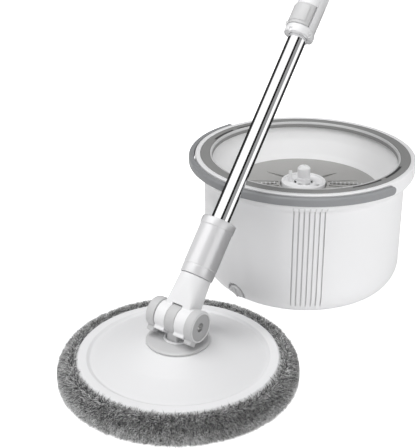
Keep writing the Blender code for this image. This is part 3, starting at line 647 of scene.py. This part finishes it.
def build_hub():
    """The white disc that turns in the plate, with its spindle, drive fin, a black ring painted in as shade
    round the spindle, and screws.
    """
    disc = [
        (0.0287, 0.1350, 0.0009), (0.0287, 0.1242, 0.0010), (0.0118, 0.1242),
        (0.0118, 0.1292), (0.0124, 0.1292), (0.0124, 0.1333, 0.0003),
        (0.0140, 0.1333, 0.0003), (0.0148, 0.1328, 0.0002), (0.0250, 0.1328, 0.0004),
        (0.0257, 0.1350, 0.0006),
    ]
    face = lathe("hub_face", disc, WORLD, 96)
    holes = []
    for at in HUB_SCREWS:
        holes.append(rod("sink", 0.0034, 0.1296, 0.1380, at, 24, 0))
        holes.append(rod("bore", 0.0016, 0.1230, 0.1380, at, 16, 0))
    cut(face, *holes)
    dress(face, "white_gloss", "hub", "hub_disc")
    post = [
        (0, 0.1530), (0.0030, 0.1530, 0.0003), (0.0036, 0.1547, 0.0004),
        (0.0060, 0.1547, 0.0016), (0.0084, 0.1518, 0.0012), (0.0084, 0.1420, 0.0003),
        (0.0078, 0.1412, 0.0003), (0.0078, 0.1400, 0.0003), (0.0087, 0.1392, 0.0003),
        (0.0087, 0.1352, 0.0005), (0.0094, 0.1342, 0.0004), (0.0094, 0.1296),
        (0.0046, 0.1296), (0.0046, 0.1500), (0, 0.1500),
    ]
    spindle = lathe("hub_post", post, WORLD, 64)
    bridges = []
    for number in range(6):
        at = azimuth_frame(WORLD, radians(30 + 60 * number))
        bridges.append(slab("bridge", (0.0080, -0.0016, 0.1302), (0.0121, 0.0016, 0.1331), at, 0.0003))
    join(spindle, *bridges)
    dress(spindle, "white_gloss", "hub", "spindle")
    # A black ring in the gap round the spindle's foot: painted shade in the gap.
    shade_fill = [(0.0117, 0.1322, 0.0002), (0.0117, 0.1300), (0.0096, 0.1300), (0.0096, 0.1322, 0.0002)]
    dress(lathe("hub_shade_fill", shade_fill, WORLD, 64), "black_plastic", "hub")
    fin_at = azimuth_frame(WORLD, radians(176), 0.0185)
    fin = slab("hub_fin", (-0.0034, -0.0012, 0.1329), (0.0010, 0.0012, 0.1480), fin_at, 0.0007)
    dress(fin, "white_gloss", "hub", "drive_fin")
    head, shaft = (0.0027, 0.1298, 0.1312), (0.0014, 0.1265)
    for number, at in enumerate(HUB_SCREWS, 1):
        phillips(f"hub_bolt_{number}", f"hub_screw_{number}", "hub", at, head, shaft)


def build_bail():
    """A half hoop of grey plastic with round ends on the bail's pins."""
    inner, outer, half = 0.1422, 0.1490, 0.00525
    section = [
        (inner, half, 0.0010), (outer - 0.0016, half, 0.0006),
        (outer, half - 0.0018, 0.0008), (outer, -half, 0.0012), (inner, -half, 0.0010),
    ]
    bail = arc_slab("bail_band", section, 0, pi, BAIL, 120, sharp=40)
    for turn in (ALONG_X, ALONG_MINUS_X):
        at = BAIL @ turn
        join(bail, rod("end", half - 0.00002, inner + 0.0001, outer - 0.0002, at, 48, 0.0009), sharp=40)
        cut(bail, rod("bore", 0.0026, 0.1380, 0.1476, at, 20, 0), sharp=40)
    dress(bail, "grey_bail", "bail", "bail_handle")


def build_drain():
    """A round knob with a grip bar."""
    knob = [
        (0, 0.0006), (0.0102, 0.0004, 0.0012), (0.0102, -0.0066, 0.0005), (0.0046, -0.0066),
        (0.0046, -0.0110, 0.0004), (0, -0.0110),
    ]
    plug = lathe("drain_knob", knob, DRAIN, 48)
    join(plug, slab("grip", (-0.0078, -0.0012, -0.0010), (0.0078, 0.0012, 0.0026), DRAIN, 0.0008))
    dress(plug, "light_grey", "drain", "drain_plug")


# -------- mop head

def build_plate():
    """The white cover of the mop head: a raised rim round a satin dish, painted darker than the rim as
    painted shade.
    """
    cover = [
        (0.1123, 0.0285, 0.0020), (0.1145, 0.0262, 0.0022), (0.1145, 0.0125),
        (0.1123, 0.0125), (0.1123, 0.0250), (0.1112, 0.0262), (0.1040, 0.0262),
        (0.1015, 0.0240), (0.0370, 0.0425), (0.0209, 0.0425), (0.0209, 0.0452),
        (0.0376, 0.0452, 0.0030), (0.0650, 0.0350, 0.0500), (0.0990, 0.0262, 0.0030),
        (0.1025, 0.0285, 0.0020),
    ]
    shell = lathe("plate_cover", cover, HEAD, 160, arc_steps=8)
    posts = []
    for number in range(3):
        at = azimuth_frame(HEAD, 2 * pi * number / 3 + pi / 6, 0.0880)
        post = rod("post", 0.0035, 0.0149, 0.0270, at, 24, 0)
        cut(post, rod("bore", 0.0015, 0.0140, 0.0252, at, 16, 0))
        posts.append(post)
    join(shell, *posts)
    dress(shell, "white_gloss", "head", "head_cover")
    # The dish's upper faces take the darker satin white: a satin finish, with painted shade in its colour.
    shell.data.materials.append(MATERIALS["dish_painted_shade"])
    dish_radius = 0.1030
    for face in shell.data.polygons:
        if (face.center.xy - PIN.xy).length < dish_radius and face.normal.z > 0.3:
            face.material_index = 1


def section_at(curve, shares):
    """Points, outward normals and onward directions of a (radius, height) curve at shares of its length."""
    curve = np.array(curve)
    lengths = np.hypot(*np.diff(curve, axis=0).T)
    reach = np.concatenate([[0], np.cumsum(lengths)]) / lengths.sum()

    def at(share):
        share = np.clip(share, 0, 1)
        return np.stack([np.interp(share, reach, curve[:, k]) for k in range(2)], 1)

    along = at(shares + 0.05) - at(shares - 0.05)
    along /= np.maximum(np.hypot(*along.T), 1e-9)[:, None]
    return at(shares), np.stack([-along[:, 1], along[:, 0]], 1), along


def tufts(name, roots, lean, swirl, length, width, tone, rng):
    """Tapered three-sided tufts round the head's axis, rooted at (radius, height, azimuth).

    Each leans (outward, up) with a sideways swirl, and stays under the pile's outer limits.
    """
    count = len(roots)
    radius, height, azimuth = roots.T
    shares = np.array([0.0, 0.55, 1.0])
    out = np.stack([np.cos(azimuth), np.sin(azimuth), np.zeros(count)], 1)
    side = np.stack([-np.sin(azimuth), np.cos(azimuth), np.zeros(count)], 1)
    up = np.array([0.0, 0.0, 1.0])
    start = out * radius[:, None] + up * height[:, None]
    direction = out * lean[:, :1] + up * lean[:, 1:] + side * swirl[:, None]
    direction /= np.linalg.norm(direction, axis=1)[:, None]
    curl = (rng.random((count, 3)) - 0.5) * 0.7
    line = start[:, None] + length[:, None, None] * (
        direction[:, None] * shares[None, :, None] + curl[:, None] * (shares**2)[None, :, None]
    )
    reach = np.hypot(line[..., 0], line[..., 1])
    line[..., :2] *= np.minimum(1.0, PILE_REACH / np.maximum(reach, 1e-9))[..., None]
    line[..., 2] = np.clip(line[..., 2], 0.0007, PILE_TOP)
    first = np.cross(direction, rng.normal(size=(count, 3)))
    first /= np.linalg.norm(first, axis=1)[:, None]
    second = np.cross(direction, first)
    verts = np.empty((count, 7, 3))
    for ring, girth in ((0, 1.0), (1, 0.8)):
        for corner in range(3):
            turn = 2 * pi * corner / 3
            offset = first * cos(turn) + second * sin(turn)
            verts[:, ring * 3 + corner] = line[:, ring] + offset * (width * girth)[:, None]
    verts[:, 6] = line[:, 2]
    verts[..., 2] = np.maximum(verts[..., 2], 0.0002)
    verts = verts.reshape(-1, 3) + np.array([PIN.x, PIN.y, 0])
    faces = [(c, (c + 1) % 3, 3 + (c + 1) % 3, 3 + c) for c in range(3)]
    faces += [(3 + c, 3 + (c + 1) % 3, 6) for c in range(3)] + [(2, 1, 0)]
    loops = np.concatenate([np.array(f) for f in faces])
    sizes = np.array([len(f) for f in faces])
    starts = np.concatenate([[0], np.cumsum(sizes)[:-1]])
    index = np.arange(count)[:, None]
    mesh = bpy.data.meshes.new(name)
    mesh.vertices.add(len(verts))
    mesh.vertices.foreach_set("co", verts.astype(np.float32).ravel())
    mesh.loops.add(count * len(loops))
    mesh.loops.foreach_set("vertex_index", (index * 7 + loops).astype(np.int32).ravel())
    mesh.polygons.add(count * len(sizes))
    mesh.polygons.foreach_set("loop_start", (index * len(loops) + starts).astype(np.int32).ravel())
    mesh.update(calc_edges=True)
    # Each tuft is darker at the root as painted shade, and lighter towards the tip.
    root, belly, tip = 0.25, 0.85, 1.2
    painted_shade_fade = np.array([root] * 3 + [belly] * 3 + [tip])
    attribute = mesh.attributes.new("tone", "FLOAT", "POINT")
    attribute.data.foreach_set("value", np.clip(tone[:, None] * painted_shade_fade, 0, 1).astype(np.float32).ravel())
    mesh.polygons.foreach_set("use_smooth", [True] * len(mesh.polygons))
    dress(add_object(name, mesh), "fur", "head", material=PILE)


def waves(azimuth, rng):
    """A smooth random function of azimuth, about -1 to 1, that gathers tufts into clumps."""
    count, slowest, fastest = 9, 18, 90
    total = np.zeros_like(azimuth)
    for _ in range(count):
        total += np.sin(azimuth * rng.integers(slowest, fastest) + rng.random() * 2 * pi)
    return total / np.sqrt(count)


PILE_REACH, PILE_TOP = 0.1366, 0.0302
PILE_CURVE = [
    (0.1162, 0.0258), (0.1195, 0.0266), (0.1232, 0.0258), (0.1268, 0.0228), (0.1298, 0.0180),
    (0.1316, 0.0125), (0.1320, 0.0075), (0.1310, 0.0038), (0.1290, 0.0014),
]
# Tone by place on the pile's section: painted light at the inner and outer edges, painted shade between.
BAND_AT = [0, 0.08, 0.25, 0.42, 0.60, 0.78, 0.90, 1.0]
BAND_PAINTED_LIGHT_AND_SHADE = [1.5, 1.1, 0.72, 0.55, 0.85, 2.1, 3.5, 3.1]
TUFTS_EACH, TUFTS_UNDER = 19000, 7000


def build_pad():
    """A closed core under dense pile, whose tuft tones hold painted light and shade: lighter at its inner and
    outer edges, darker between.
    """
    core = [(r - 0.0012, max(0.0016, z - 0.0012)) for r, z in PILE_CURVE[1:]]
    core = [(0.1153, 0.0236, 0.0010)] + core
    core += [(0.1270, 0.0014), (0.0302, 0.0014, 0.0010), (0.0302, 0.0103, 0.0010), (0.1153, 0.0103)]
    pad = lathe("fur_pad", core, HEAD, 128, sharp=60)
    dress(pad, "fur", "head", "mop_pad")

    for number in range(3):
        rng = np.random.default_rng(11 + number)
        count = TUFTS_EACH
        azimuth = rng.random(count) * 2 * pi
        share = rng.random(count) ** 0.85
        points, normals, along = section_at(PILE_CURVE, share)
        clump = waves(azimuth + share * 0.2, rng)
        flow = 0.55 + 0.35 * clump + rng.normal(0, 0.35, count) - 1.6 * np.clip(0.16 - share, 0, 1) / 0.16
        flow -= 1.1 * np.clip(share - 0.55, 0, 1) / 0.45
        lean = normals + along * flow[:, None]
        swirl = 0.40 * waves(azimuth, rng) + rng.normal(0, 0.40, count)
        length = rng.uniform(0.0036, 0.0068, count)
        width = rng.uniform(0.00016, 0.00042, count)
        # The band's painted light and shade scales each tuft's random tone.
        band = np.interp(share, BAND_AT, BAND_PAINTED_LIGHT_AND_SHADE)
        tone = np.clip(band * (0.06 + 1.45 * rng.beta(0.45, 0.60, count)), 0.02, 3)
        roots = np.stack([points[:, 0], points[:, 1], azimuth], 1)
        tufts(f"pile_{number + 1}", roots, lean, swirl, length, width, tone, rng)

    rng = np.random.default_rng(31)
    count = TUFTS_UNDER
    azimuth = rng.random(count) * 2 * pi
    radius = np.sqrt(rng.uniform(0.0330**2, 0.1280**2, count))
    roots = np.stack([radius, np.full(count, 0.0018), azimuth], 1)
    heading = rng.random(count) * 2 * pi
    lean = np.stack([np.cos(heading), rng.uniform(-0.5, -0.2, count)], 1)
    length = rng.uniform(0.0045, 0.0080, count)
    width = rng.uniform(0.00030, 0.00055, count)
    tone = np.clip(0.2 + 0.8 * rng.beta(1.6, 1.9, count), 0.03, 1)
    tufts("pile_under", roots, lean, np.sin(heading), length, width, tone, rng)


PIN_BORE = 0.0042


def build_boss():
    """The grey flange with its lug, which turns over the cover, and its bright trim ring."""
    flange = [
        (0, 0.0485), (0.0335, 0.0485, 0.0010), (0.0360, 0.0474, 0.0008),
        (0.0360, 0.0455, 0.0004), (0.0205, 0.0455), (0.0205, 0.0425), (0, 0.0425),
    ]
    boss = lathe("boss_flange", flange, HEAD, 96)
    half, height = 0.0065, PIN.z
    pin_at = HEAD @ Matrix.Translation((0, 0, height)) @ ALONG_X
    foot = slab("foot", (-half, -0.0110, 0.0470), (half, 0.0110, height), HEAD, 0.0004)
    eye = rod("eye", 0.0170, -half, half, pin_at, 64, 0.0008)
    nose = slab("nose", (-0.0060, 0.0050, height - 0.0110), (0.0060, 0.0213, height - 0.0025), HEAD, 0.0005)
    join(boss, foot, eye, nose)
    pilots = []
    for number in range(3):
        at = azimuth_frame(HEAD, 2 * pi * number / 3 + pi / 2, 0.0120)
        pilots.append(rod("pilot", 0.0016, 0.0400, 0.0470, at, 16, 0))
    cut(boss, rod("bore", PIN_BORE, -0.02, 0.02, pin_at, 32, 0), *pilots)
    dress(boss, "light_grey", "yoke", "swivel_boss")
    ring = [(0.0157, 0.0499, 0.0004), (0.0164, 0.0488), (0.0134, 0.0488), (0.0141, 0.0499, 0.0004)]
    dress(lathe("boss_ring", ring, HEAD, 80), "white_gloss", "yoke", "boss_trim_ring")


# -------- joint and handle

HINGE = HANDLE @ ALONG_X
EAR_RADIUS, EAR_INNER, EAR_OUTER = 0.0165, 0.0069, 0.0210
CAP_RADIUS, CAP_OUTER = 0.0180, 0.0322
SLEEVE_START, SLEEVE_END = 0.0510, 0.1185
TUBE_RADIUS, TUBE_BORE = 0.01075, 0.00975
TUBE_START, TUBE_END = 0.0740, 0.7000
NECK_RADIUS, LOCK_AT = 0.0180, 0.0930


def hull(name, points, at):
    shape = bmesh.new()
    for point in points:
        shape.verts.new(point)
    made = bmesh.ops.convex_hull(shape, input=shape.verts)
    inside = [v for v in made["geom_interior"] if isinstance(v, bmesh.types.BMVert)]
    bmesh.ops.delete(shape, geom=inside, context="VERTS")
    return new_mesh_object(name, shape, at)


def lock_bore():
    """The cutter for the pin that locks the tube in the fork."""
    at = HANDLE @ Matrix.Translation((0, 0, LOCK_AT)) @ ALONG_X
    return rod("lock_bore", 0.0023, -0.02, 0.02, at, 16, 0)


def build_fork():
    """Two ears and a neck that melt into each other, a spigot inside the sleeve and the lug's slot."""
    ears = rod("ears", EAR_RADIUS, -EAR_OUTER, EAR_OUTER, HINGE, 64, 0.0004)
    tabs = slab("tabs", (-0.0208, -0.0080, -0.0188), (0.0208, 0.0080, -0.0060), HANDLE, 0.0004)
    ring = [(NECK_RADIUS * cos(a), NECK_RADIUS * sin(a)) for a in np.linspace(0, 2 * pi, 48, endpoint=False)]
    points = [(x, y, s) for x, y in ring for s in (0.0440, 0.0505)]
    points += [(x, y, 0.0080) for x in (-0.0172, 0.0172) for y in (-0.0110, 0.0110)]
    neck = hull("neck", points, HANDLE)
    fork = melted("fork_body", [ears, tabs, neck], 0.0006, 5)
    spigot = rod("spigot", 0.0132, 0.0480, 0.1125, HANDLE, 48, 0.0003)
    join(fork, spigot, sharp=50)
    slot = EAR_INNER - 0.00003
    tools = [
        rod("slot_eye", 0.0190, -EAR_INNER, EAR_INNER, HINGE, 64, 0),
        slab("slot_foot", (-slot, -0.0250, -0.0300), (slot, 0.0250, 0.0020), HANDLE, 0),
        rod("pin_bore", PIN_BORE, -0.03, 0.03, HINGE, 32, 0),
        rod("tube_seat", TUBE_RADIUS + 0.0003, 0.0737, 0.1200, HANDLE, 48, 0),
        lock_bore(),
        lathe("seat", [(0.0250, 0.0600), (0.0250, 0.0507), (0.0133, 0.0507), (0.0133, 0.0600)], HANDLE, 64),
    ]
    cut(fork, *tools, sharp=50)
    dress(fork, "white_gloss", "handle", "fork")


def build_caps():
    """Grey caps on the ears, each with a tab, a rim ring painted lighter as a painted highlight, a sunk face
    and a screw.
    """
    inner, outer, radius = EAR_OUTER + 0.0003, CAP_OUTER, CAP_RADIUS
    head, shaft = (0.0036, outer - 0.0038, outer - 0.0012), (0.0016, 0.0140)
    for side, turn, sign in (("left", ALONG_MINUS_X, -1), ("right", ALONG_X, 1)):
        profile = [
            (radius - 0.0006, outer - 0.0004, 0.0008), (radius, outer - 0.0020, 0.0008),
            (radius, inner, 0.0005), (0.0020, inner), (0.0020, outer - 0.0040),
            (0.0052, outer - 0.0040), (0.0052, outer - 0.0010, 0.0003),
            (radius - 0.0030, outer - 0.0010, 0.0002), (radius - 0.0028, outer - 0.0004, 0.0002),
        ]
        at = HANDLE @ turn
        cap = lathe(f"cap_{side}", profile, at, 72)
        low, high = sorted((sign * (inner + 0.0001), sign * (outer - 0.0014)))
        join(cap, slab("tab", (low, -0.0050, -0.0224), (high, 0.0050, -0.0168), HANDLE, 0.0006))
        dress(cap, "light_grey", "handle", f"hinge_cap_{side}")
        cap.data.materials.append(MATERIALS["cap_face"])
        for face in cap.data.polygons:
            local = at.inverted() @ face.center
            if local.z > outer - 0.0042 and local.xy.length < radius - 0.0029:
                face.material_index = 1
        # A thin rim ring in a lighter grey: a painted highlight round the cap's face.
        rim = [
            (radius - 0.0008, outer, 0.0005), (radius - 0.0008, outer - 0.0003),
            (radius - 0.0026, outer - 0.0003), (radius - 0.0026, outer, 0.0005),
        ]
        dress(lathe(f"cap_rim_{side}", rim, at, 72), "light_grey", "handle", material=MATERIALS["rim_painted_highlight"])
        phillips(f"cap_bolt_{side}", f"cap_screw_{side}", "handle", at, head, shaft)


def build_sleeve_and_tube():
    sleeve = [
        (0.0188, SLEEVE_END, 0.0005), (0.0200, SLEEVE_END - 0.0006, 0.0007),
        (0.0200, 0.1098, 0.0007), (0.0193, 0.1086, 0.0006), (0.0193, 0.0628, 0.0002),
        (0.0189, 0.0624, 0.0002), (0.0189, 0.0614, 0.0002), (0.0193, 0.0610, 0.0002),
        (0.0190, SLEEVE_START, 0.0006), (0.0135, SLEEVE_START), (0.0135, 0.1128),
        (TUBE_RADIUS + 0.0003, 0.1128), (TUBE_RADIUS + 0.0003, SLEEVE_END, 0.0006),
    ]
    dress(lathe("sleeve_shell", sleeve, HANDLE, 96), "silver_grey", "handle", "sleeve")
    tube = [
        (TUBE_RADIUS, TUBE_END, 0.0004), (TUBE_RADIUS, TUBE_START), (TUBE_BORE, TUBE_START),
        (TUBE_BORE, TUBE_END, 0.0004),
    ]
    shell = lathe("chrome_tube", tube, HANDLE, 128)
    cut(shell, lock_bore())
    dress(shell, "chrome", "handle", "lower_tube")


CLAMP_RADIUS, CLAMP_START, CLAMP_END = 0.0178, 0.3520, 0.4370
LEVER_START, LEVER_END = 0.3625, 0.3885
LEVER_TIP, LEVER_ROOT = -177, -46


def build_clamp():
    """The white collar on the tube, with the pocket that the lever closes into."""
    bore = TUBE_RADIUS + 0.0004
    profile = [
        (0.0120, CLAMP_END, 0.0003), (0.0131, 0.4360), (0.0131, 0.4215),
        (0.0168, 0.4215, 0.0005), (0.0168, 0.4000), (0.0166, LEVER_START - 0.0015, 0.0010),
        (CLAMP_RADIUS, LEVER_START - 0.0040, 0.0020), (CLAMP_RADIUS, CLAMP_START, 0.0010),
        (bore, CLAMP_START, 0.0003), (bore, CLAMP_END),
    ]
    housing = lathe("clamp_body", profile, HANDLE, 96)
    pocket = strip(0.0143, 0.0210, LEVER_START - 0.0003, LEVER_END + 0.0003)
    tools = [
        arc_slab("pocket", pocket, radians(LEVER_TIP - 5), radians(LEVER_ROOT + 16), HANDLE, 40),
        rod("groove", 0.0030, LEVER_START - 0.0002, LEVER_END + 0.0002, LEVER, 24, 0),
        rod("pin_bore", 0.0014, LEVER_START - 0.0065, LEVER_END + 0.0065, LEVER, 16, 0),
    ]
    for azimuth in (-100, -20, 70, 160):
        at = azimuth_frame(HANDLE, radians(azimuth), CLAMP_RADIUS)
        tools.append(slab("notch", (-0.0016, -0.0022, 0.3500), (0.0020, 0.0022, 0.3560), at, 0.0006))
    cut(housing, *tools)
    dress(housing, "white_gloss", "grip", "clamp_housing")


def build_lever():
    """A curved grey band on a knuckle round its pin, with a raised panel and a thumb tab."""
    knuckle = rod("lever_shell", 0.0026, LEVER_START, LEVER_END, LEVER, 32, 0.0004)
    low, high = LEVER_START + 0.0001, LEVER_END - 0.0001
    band = strip(0.0146, 0.0176, low, high, 0.0003, 0.0006)
    panel = strip(0.0170, 0.0184, LEVER_START + 0.0035, LEVER_END - 0.0020, 0.0002, 0.0007)
    thumb = strip(0.0160, 0.0208, low + 0.0001, low + 0.0052, 0.0004, 0.0010)
    parts = [
        arc_slab("band", band, radians(LEVER_TIP), radians(LEVER_ROOT), HANDLE, 40),
        arc_slab("panel", panel, radians(LEVER_TIP + 4), radians(LEVER_ROOT - 12), HANDLE, 32),
        arc_slab("thumb", thumb, radians(LEVER_TIP + 1), radians(LEVER_TIP + 13), HANDLE, 6),
    ]
    join(knuckle, *parts)
    cut(knuckle, rod("bore", 0.0014, LEVER_START - 0.01, LEVER_END + 0.01, LEVER, 16, 0))
    dress(knuckle, "silver_grey", "lever", "lock_lever", material=MATERIALS["lever_grey"])


def build_grip():
    """The white upper tube and its end cap with a hanging eye."""
    radius, bore, start, end, eye_at = 0.0150, 0.0134, 0.4218, 0.9550, 0.9880
    tube = [(radius, end, 0.0003), (radius, start, 0.0004), (bore, start), (bore, end)]
    dress(lathe("grip_shell", tube, HANDLE, 96), "white_gloss", "grip", "grip_tube")
    plug = [
        (0, 0.9742), (0.0100, 0.9730, 0.0060), (0.0140, 0.9660, 0.0060),
        (radius, 0.9600, 0.0030), (radius, end + 0.0003, 0.0003),
        (bore - 0.0003, end + 0.0003), (bore - 0.0003, end - 0.0250, 0.0010),
        (0, end - 0.0250),
    ]
    cap = lathe("hang_cap", plug, HANDLE, 96)
    eye_frame = HANDLE @ Matrix.Translation((0, 0, eye_at)) @ ALONG_X
    eye = rod("eye", 0.0125, -0.0040, 0.0040, eye_frame, 56, 0.0012)
    stem = slab("stem", (-0.0038, -0.0112, 0.9600), (0.0038, 0.0112, eye_at), HANDLE, 0.0012)
    join(cap, stem, eye)
    half_hole = [(0, 0.02), (0.0086, 0.02), (0.0086, 0.0034), (0.0080, 0.0028)]
    hole = half_hole + [(r, -z) for r, z in reversed(half_hole)]
    cut(cap, lathe("hole", hole, eye_frame, 48))
    dress(cap, "silver_grey", "grip", "end_cap")


build_bucket()
build_ring()
build_tub()
build_scrub_plate()
build_hub()
build_bail()
build_drain()
build_plate()
build_pad()
build_boss()
build_fork()
build_caps()
build_sleeve_and_tube()
build_clamp()
build_lever()
build_grip()

SLOT_OF = {part["node"]: part["material_slot"] for part in frame["record"]["subparts"]}
for node, obj in NODES.items():
    if obj.hide_render:
        continue
    obj.data.materials.clear()
    obj.data.materials.append(MATERIALS[SLOT_OF[node]])


# -------- floor, light and camera

def glowing(name, tone):
    """A matt tone that gives off white light."""
    tree = Tree(name)
    tree.shader.inputs["Base Color"].default_value = (tone, tone, tone, 1)
    tree.shader.inputs["Specular IOR Level"].default_value = 0.0
    tree.shader.inputs["Emission Color"].default_value = (1, 1, 1, 1)
    return tree


def area_light(name, at, target, size, power):
    data = bpy.data.lights.new(name, "AREA")
    data.shape = "RECTANGLE"
    data.size, data.size_y = size
    data.energy = power
    light = add_object(name, data)
    light.location = at
    light.rotation_euler = (Vector(target) - Vector(at)).to_track_quat("-Z", "Y").to_euler()
    light.visible_camera = False
    return light


def light_only(light, bodies):
    """Keeps a light to the pieces that ride on these bodies."""
    lit = bpy.data.collections.new(f"lit_by_{light.name}")
    for piece in SCENE.collection.all_objects:
        if piece.get("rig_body") in bodies:
            lit.objects.link(piece)
    light.light_linking.receiver_collection = lit


def card(name, azimuths, distance, along, tone):
    """A curved strip beside the handle that only polished surfaces see. It draws one band on the tube."""
    shape = bmesh.new()
    steps = 12
    rows = []
    for k in range(steps + 1):
        azimuth = radians(azimuths[0] + (azimuths[1] - azimuths[0]) * k / steps)
        x, y = distance * cos(azimuth), distance * sin(azimuth)
        rows.append([shape.verts.new(HANDLE @ Vector((x, y, at))) for at in along])
    for first, second in zip(rows, rows[1:]):
        shape.faces.new((first[0], first[1], second[1], second[0]))
    made = new_mesh_object(name, shape)
    tree = glowing(name, 0.0)
    tree.shader.inputs["Emission Strength"].default_value = tone
    made.data.materials.append(tree.material)
    made.visible_camera = made.visible_diffuse = made.visible_shadow = made.visible_transmission = False


def build_floor():
    """A floor that the camera sees as clean white while it lights the object softly."""
    shape = bmesh.new()
    bmesh.ops.create_grid(shape, x_segments=1, y_segments=1, size=60)
    floor = new_mesh_object("floor", shape, Matrix.Translation((0, 0, -0.0002)))
    tree = glowing("floor_white", 0.80)
    tree.shader.inputs["Roughness"].default_value = 0.9
    direct = tree.add("ShaderNodeLightPath").outputs["Is Camera Ray"]
    tree.link(tree.spread(direct, 0.22, 0.92, 0.0, 1.0), tree.shader.inputs["Emission Strength"])
    floor.data.materials.append(tree.material)


def build_world():
    """A soft sky, brightest in front and above. The camera itself sees it as white."""
    SCENE.world = bpy.data.worlds.new("studio")
    tree = Tree("studio", SCENE.world)
    tree.shader.inputs["Color"].default_value = (1.0, 1.0, 1.0, 1)
    facing = tree.add("ShaderNodeVectorMath", operation="DOT_PRODUCT")
    facing.inputs[1].default_value = (0.10, -0.75, 0.65)
    tree.link(tree.add("ShaderNodeTexCoord").outputs["Generated"], facing.inputs[0])
    strength = tree.add("ShaderNodeMath", operation="MAXIMUM")
    tree.link(tree.spread(facing.outputs["Value"], 0.17, 0.58, -0.4, 0.9), strength.inputs[0])
    tree.link(tree.add("ShaderNodeLightPath").outputs["Is Camera Ray"], strength.inputs[1])
    tree.link(strength.outputs["Value"], tree.shader.inputs["Strength"])


def build_lights():
    """One light over all, and one each for the bucket and the mop, which glossy surfaces don't mirror."""
    area_light("top", (-0.6, -0.3, 2.3), (-0.1, -0.1, 0.05), (1.4, 1.4), 27.0)
    key = area_light("key", (1.05, -1.46, 0.70), (0.0, 0.0, 0.10), (0.45, 1.5), 10.5)
    left = area_light("left", (-1.5, -0.9, 1.10), (-0.15, -0.35, 0.05), (0.9, 1.2), 4.8)
    key.visible_glossy = left.visible_glossy = False
    light_only(key, ("bucket", "bail", "hub", "drain"))
    light_only(left, ("head", "yoke", "handle", "grip", "lever"))


def build_cards():
    """The bands on the chrome tube, then those on the sleeve."""
    whole, tube, sleeve = (-0.2, 1.4), (0.1190, 0.42), (0.0450, 0.1265)
    for name, azimuths, distance, along, tone in (
        ("white_left", (-151, -60), 0.9, whole, 1.15),
        ("black", (-59, -34), 0.9, whole, 0.02),
        ("grey", (-33, -1), 0.9, whole, 0.33),
        ("white_right", (0, 35), 0.6, whole, 1.15),
        ("edge_right", (36, 124), 0.07, tube, 0.03),
        ("edge_left", (-238, -153), 0.07, tube, 0.03),
        ("sleeve_left", (-178, -132), 0.06, sleeve, 0.55),
        ("sleeve_middle", (-82, -46), 0.06, sleeve, 0.42),
        ("sleeve_front", (-44, -10), 0.06, sleeve, 0.95),
        ("sleeve_right", (-6, 130), 0.06, sleeve, 0.06),
    ):
        card(f"card_{name}", azimuths, distance, along, tone)


def place_camera():
    data = bpy.data.cameras.new("camera")
    data.lens = 80.36
    data.sensor_width = 36.0
    data.clip_start, data.clip_end = 0.05, 200.0
    camera = add_object("camera", data)
    camera.location = (-0.1249, -1.2040, 0.6310)
    camera.rotation_euler = (radians(90 - 24.9), 0, 0)
    SCENE.camera = camera


build_floor()
build_world()
build_lights()
build_cards()
place_camera()
SCENE.view_settings.view_transform = "Standard"
SCENE.view_settings.look = "None"
